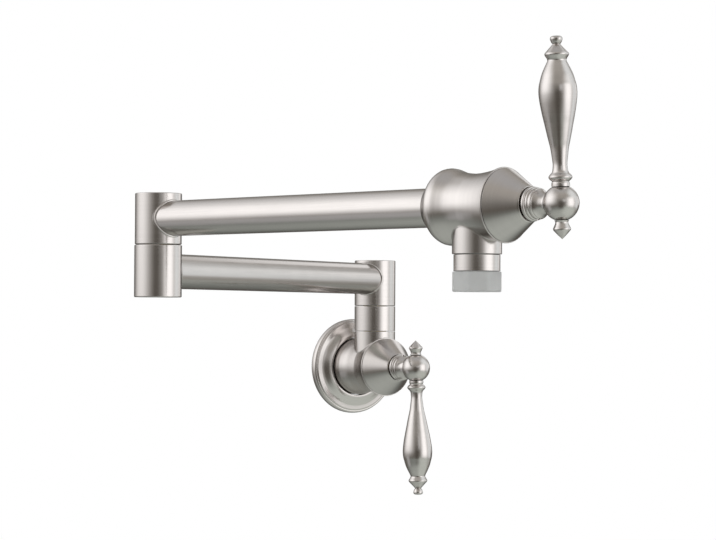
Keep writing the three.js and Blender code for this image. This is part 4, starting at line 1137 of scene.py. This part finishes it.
class POTFILLER_OT_inner_pieces(PotFillerOperator, bpy.types.Operator):
    """Finishes of the pieces that keep their CAD shape, inside the valves and the swivels"""

    bl_idname = "pot_filler.inner_pieces"
    bl_label = "Inner pieces"

    def build(self, s):
        look = finish()
        for group, place in (
            ("post", upright(POST)), ("elbow", upright(ELBOW)), ("wall", wall_place()),
            ("spout", spout_place()), ("aerator", outlet_place(0)),
        ):
            metals = {
                "brass": brushed(f"brass_{group}", look.brass, 0.34, place, lines=900.0, tone=0.1),
                "steel": brushed(f"steel_{group}", look.steel, 0.28, place),
            }
            moulds = {
                "ceramic": moulded("ceramic_disc", look.ceramic, 0.25, 2500.0, 0.00001),
                "rubber": rubber(),
                "acetal": moulded("acetal_washer", look.acetal, 0.42, 2000.0, 0.00002),
            }
            for ending, kind in (
                ("spigot", "brass"), ("cartridge", "brass"), ("stem", "brass"), ("ring", "steel"),
                ("disc", "ceramic"), ("seal", "rubber"), ("o_ring_lower", "rubber"),
                ("o_ring_upper", "rubber"), ("thrust_washer", "acetal"), ("glide_washer", "acetal"),
                ("aerator_washer", "rubber"),
            ):
                for name, node in frame["nodes"].items():
                    if name.startswith(group) and name.endswith(ending) and not node.hide_render:
                        node.data.materials.clear()
                        node.data.materials.append((metals | moulds)[kind])


# ---- stage ----


NEUTRAL = (1.0, 1.0, 1.0)
COOL = (0.96, 1.0, 1.01)
GREENISH = (0.94, 1.0, 0.935)
WARM = (1.05, 1.0, 0.92)
BROWN = (1.10, 1.0, 0.87)
# The tent's light where no panel is: sine of the elevation, share of the tent's strength, and tint
SKY = (
    (-1.0, 0.34, GREENISH), (-0.77, 0.30, GREENISH), (-0.53, 0.17, GREENISH), (-0.3, 0.09, BROWN),
    (0.0, 0.14, WARM), (0.3, 0.20, WARM), (0.53, 0.26, WARM), (0.77, 0.30, WARM), (1.0, 0.33, NEUTRAL),
)
# Soft panels of the tent. Heading to the right of the camera with its full and faded half widths,
# elevation with its full and faded half heights, all in degrees, share of the strength, and tint
PANELS = (
    ("floor_right", (70, 30, 90), (-46, 14, 40), 0.44, GREENISH),
    ("sky_left", (-118, 20, 58), (38, 8, 32), 0.53, NEUTRAL),
    ("sky_right", (92, 12, 62), (40, 8, 30), 0.66, COOL),
    ("left_low", (-90, 6, 24), (-25, 5, 14), 0.30, NEUTRAL),
    ("flag", (-4, 4, 24), (-12, 10, 32), 0.06, BROWN),
    ("cone_light", (15, 4, 13), (13, 3, 10), 0.42, NEUTRAL),
    ("dark_right", (118, 3, 13), (-10, 14, 28), 0.24, WARM),
    ("back_right", (106, 8, 25), (7, 15, 30), 0.66, COOL),
    ("back_bounce", (132, 5, 14), (9, 4, 15), 0.92, NEUTRAL),
    ("back_high", (158, 6, 15), (25, 5, 14), 1.0, NEUTRAL),
    ("left_box", (-84, 5, 68), (21, 7, 44), 0.95, NEUTRAL),
    ("right_box", (58, 6, 43), (4, 12, 32), 1.0, NEUTRAL),
)
TENT_STRENGTH = 1.47
TENT_RADIUS = 6.0
FLOOR_RADIUS = 30.0
FLOOR_COLOUR = (0.82, 0.82, 0.81)
# Distances from the part at which the floor starts to turn white and at which it is white
FLOOR_FADE = (0.9, 2.6)
LAMP_SIZE = 1.6


def faded(tree, value, full, outer):
    """A mask that is 1 up to the full width and falls to 0 at the outer width."""
    return tree.steps(value, full, outer, 1.0, 0.0)


def tent_material():
    """A soft sky with light and dark panels, by heading from the camera's and by height."""
    material = bpy.data.materials.new("tent")
    material.use_nodes = True
    material.node_tree.nodes.clear()
    tree = Tree(material.node_tree)
    spot = tree.add("TexCoord")
    turn = math.pi / 2 - studio().heading
    centred = tree.add("Mapping", Vector=spot.outputs["Object"], Rotation=(0, 0, turn))
    way = tree.add("VectorMath", {"operation": "NORMALIZE"}, Vector=centred.outputs[0])
    height = tree.add("SeparateXYZ", Vector=way.outputs[0]).outputs["Z"]
    elevation = tree.math("ARCSINE", height)
    level_way = tree.add("VectorMath", {"operation": "MULTIPLY"}, Vector=way.outputs[0])
    level_way.inputs[1].default_value = (1, 1, 0)
    level = tree.add("VectorMath", {"operation": "NORMALIZE"}, Vector=level_way.outputs[0])
    place = tree.math("ADD", tree.math("MULTIPLY", height, 0.5), 0.5)
    light = tree.ramp(place, [(sine / 2 + 0.5, shaded(tint, amount)) for sine, amount, tint in SKY])
    for name, width, tall, amount, tint in PANELS:
        heading, full, outer = [math.radians(degrees) for degrees in width]
        facing = tree.add("VectorMath", {"operation": "DOT_PRODUCT"}, Vector=level.outputs[0])
        facing.label = name
        facing.inputs[1].default_value = (math.cos(heading), math.sin(heading), 0)
        off = tree.math("ARCCOSINE", facing.outputs["Value"])
        middle, full_tall, outer_tall = [math.radians(degrees) for degrees in tall]
        rise = tree.math("ABSOLUTE", tree.math("SUBTRACT", elevation, middle))
        mask = tree.math("MULTIPLY", faded(tree, off, full, outer), faded(tree, rise, full_tall, outer_tall))
        light = tree.mix(mask, light, shaded(tint, amount))
    glow = tree.add("Emission", Color=light, Strength=TENT_STRENGTH)
    out = tree.add("OutputMaterial")
    tree.feed(out.inputs["Surface"], glow.outputs[0])
    return material


class POTFILLER_OT_stage(PotFillerOperator, bpy.types.Operator):
    """Pale floor, studio tent, lamps, world and the camera at the photograph's angle"""

    bl_idname = "pot_filler.stage"
    bl_label = "Stage and camera"

    def build(self, s):
        self.world()
        self.floor()
        self.tent()
        self.lamp("key", (-1.3, -1.5, 2.1), studio().key)
        self.lamp("fill", (1.6, -1.1, 1.2), studio().fill)
        self.lamp("back", (0.4, 1.8, 1.6), studio().fill)
        self.camera()
        bpy.context.scene.view_settings.view_transform = "Standard"

    def world(self):
        """White to look at, and dimmer as a light on matt surfaces."""
        world = bpy.data.worlds.new("studio_world")
        world.use_nodes = True
        bpy.context.scene.world = world
        tree = Tree(world.node_tree)
        background = world.node_tree.nodes["Background"]
        background.inputs["Color"].default_value = (1, 1, 1, 1)
        ambient = studio().ambient
        strength = tree.math("ADD", tree.math("MULTIPLY", tree.seen(), 1 - ambient), ambient)
        tree.feed(background.inputs["Strength"], strength)

    def floor(self):
        """A pale floor that keeps the part's shadow near it and turns into the white background."""
        sheet = bmesh.new()
        bmesh.ops.create_circle(sheet, cap_ends=True, segments=SMALL_STEPS, radius=FLOOR_RADIUS)
        floor = as_object("floor", lifted(sheet, studio().floor))
        material, tree, shader = new_material("pale_floor")
        shader.inputs["Base Color"].default_value = shaded(FLOOR_COLOUR, 1)
        shader.inputs["Roughness"].default_value = 0.7
        spot = tree.add("TexCoord")
        away = tree.add("VectorMath", {"operation": "LENGTH"}, Vector=spot.outputs["Object"])
        far = tree.steps(away.outputs["Value"], *FLOOR_FADE, 0.0, 1.0)
        white = tree.add("Emission", Color=(1, 1, 1, 1), Strength=1.0)
        shown = tree.add("MixShader")
        tree.feed(shown.inputs[0], tree.math("MULTIPLY", far, tree.seen()))
        tree.feed(shown.inputs[1], shader.outputs[0])
        tree.feed(shown.inputs[2], white.outputs[0])
        tree.feed(material.node_tree.nodes["Material Output"].inputs["Surface"], shown.outputs[0])
        floor.data.materials.append(material)
        floor.visible_glossy = False
        floor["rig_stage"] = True

    def tent(self):
        """Only reflections see the tent, so it shapes the metal and leaves the background plain."""
        dome = bmesh.new()
        bmesh.ops.create_uvsphere(dome, u_segments=64, v_segments=32, radius=TENT_RADIUS)
        bmesh.ops.reverse_faces(dome, faces=dome.faces)
        tent = as_object("tent", dome)
        tent.data.materials.append(tent_material())
        for ray in ("camera", "diffuse", "transmission", "shadow", "volume_scatter"):
            setattr(tent, f"visible_{ray}", False)
        tent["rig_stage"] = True

    def lamp(self, name, place, radiance):
        """A square softbox aimed at the part. Its power is given by the radiance of its face."""
        light = bpy.data.lights.new(name, "AREA")
        light.shape = "SQUARE"
        light.size = LAMP_SIZE
        light.energy = radiance * math.pi * LAMP_SIZE**2
        lamp = added(name, light)
        centre = (CAD_BOX[0] + CAD_BOX[1]) / 2
        lamp.location = Vector(place)
        lamp.rotation_euler = (centre - Vector(place)).to_track_quat("-Z", "Y").to_euler()
        lamp.visible_glossy = False
        lamp.visible_camera = False

    def camera(self):
        """The camera at its place, turned to the photograph's heading, pitch and roll."""
        view = studio()
        back = Vector((
            math.sin(view.heading) * math.cos(view.pitch),
            -math.cos(view.heading) * math.cos(view.pitch),
            math.sin(view.pitch)))
        right = UP.cross(back).normalized()
        data = bpy.data.cameras.new("camera")
        data.lens = view.lens
        data.sensor_width = 36.0
        data.clip_start = 0.1
        camera = added("camera", data)
        level = placed(Vector(view.eye), right, back.cross(right), back)
        camera.matrix_world = level @ Matrix.Rotation(view.roll, 4, "Z")
        bpy.context.scene.camera = camera


# ---- add-on ----

STEPS = (
    POTFILLER_OT_flange, POTFILLER_OT_wall_valve, POTFILLER_OT_cones, POTFILLER_OT_post, POTFILLER_OT_arms,
    POTFILLER_OT_elbow, POTFILLER_OT_spout, POTFILLER_OT_handles, POTFILLER_OT_aerator,
    POTFILLER_OT_inner_pieces, POTFILLER_OT_stage,
)


class POTFILLER_PT_sidebar(bpy.types.Panel):
    """Lists the building steps and their sizes"""

    bl_label = "Pot Filler"
    bl_idname = "POTFILLER_PT_sidebar"
    bl_space_type = "VIEW_3D"
    bl_region_type = "UI"
    bl_category = "Pot Filler"

    def draw(self, context):
        for step in STEPS:
            self.layout.operator(step.bl_idname)
        for group in (sizes(), finish(), studio()):
            box = self.layout.box()
            for name in group.bl_rna.properties.keys():
                if name not in ("rna_type", "name"):
                    box.prop(group, name)


GROUPS = (
    ("pot_filler_sizes", PotFillerSizes), ("pot_filler_finish", PotFillerFinish),
    ("pot_filler_studio", PotFillerStudio),
)


def register():
    for name, group in GROUPS:
        bpy.utils.register_class(group)
        setattr(bpy.types.Scene, name, bpy.props.PointerProperty(type=group))
    for kind in (*STEPS, POTFILLER_PT_sidebar):
        bpy.utils.register_class(kind)


def unregister():
    for kind in (POTFILLER_PT_sidebar, *reversed(STEPS)):
        bpy.utils.unregister_class(kind)
    for name, group in GROUPS:
        delattr(bpy.types.Scene, name)
        bpy.utils.unregister_class(group)


def main():
    register()
    for step in STEPS:
        getattr(bpy.ops.pot_filler, step.bl_idname.split(".")[1])()
    boxes = {"cad": CAD_BOX, "visual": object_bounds()}
    {name: [list(corner) for corner in box] for name, box in boxes.items()}


if __name__ == "__main__":
    main()
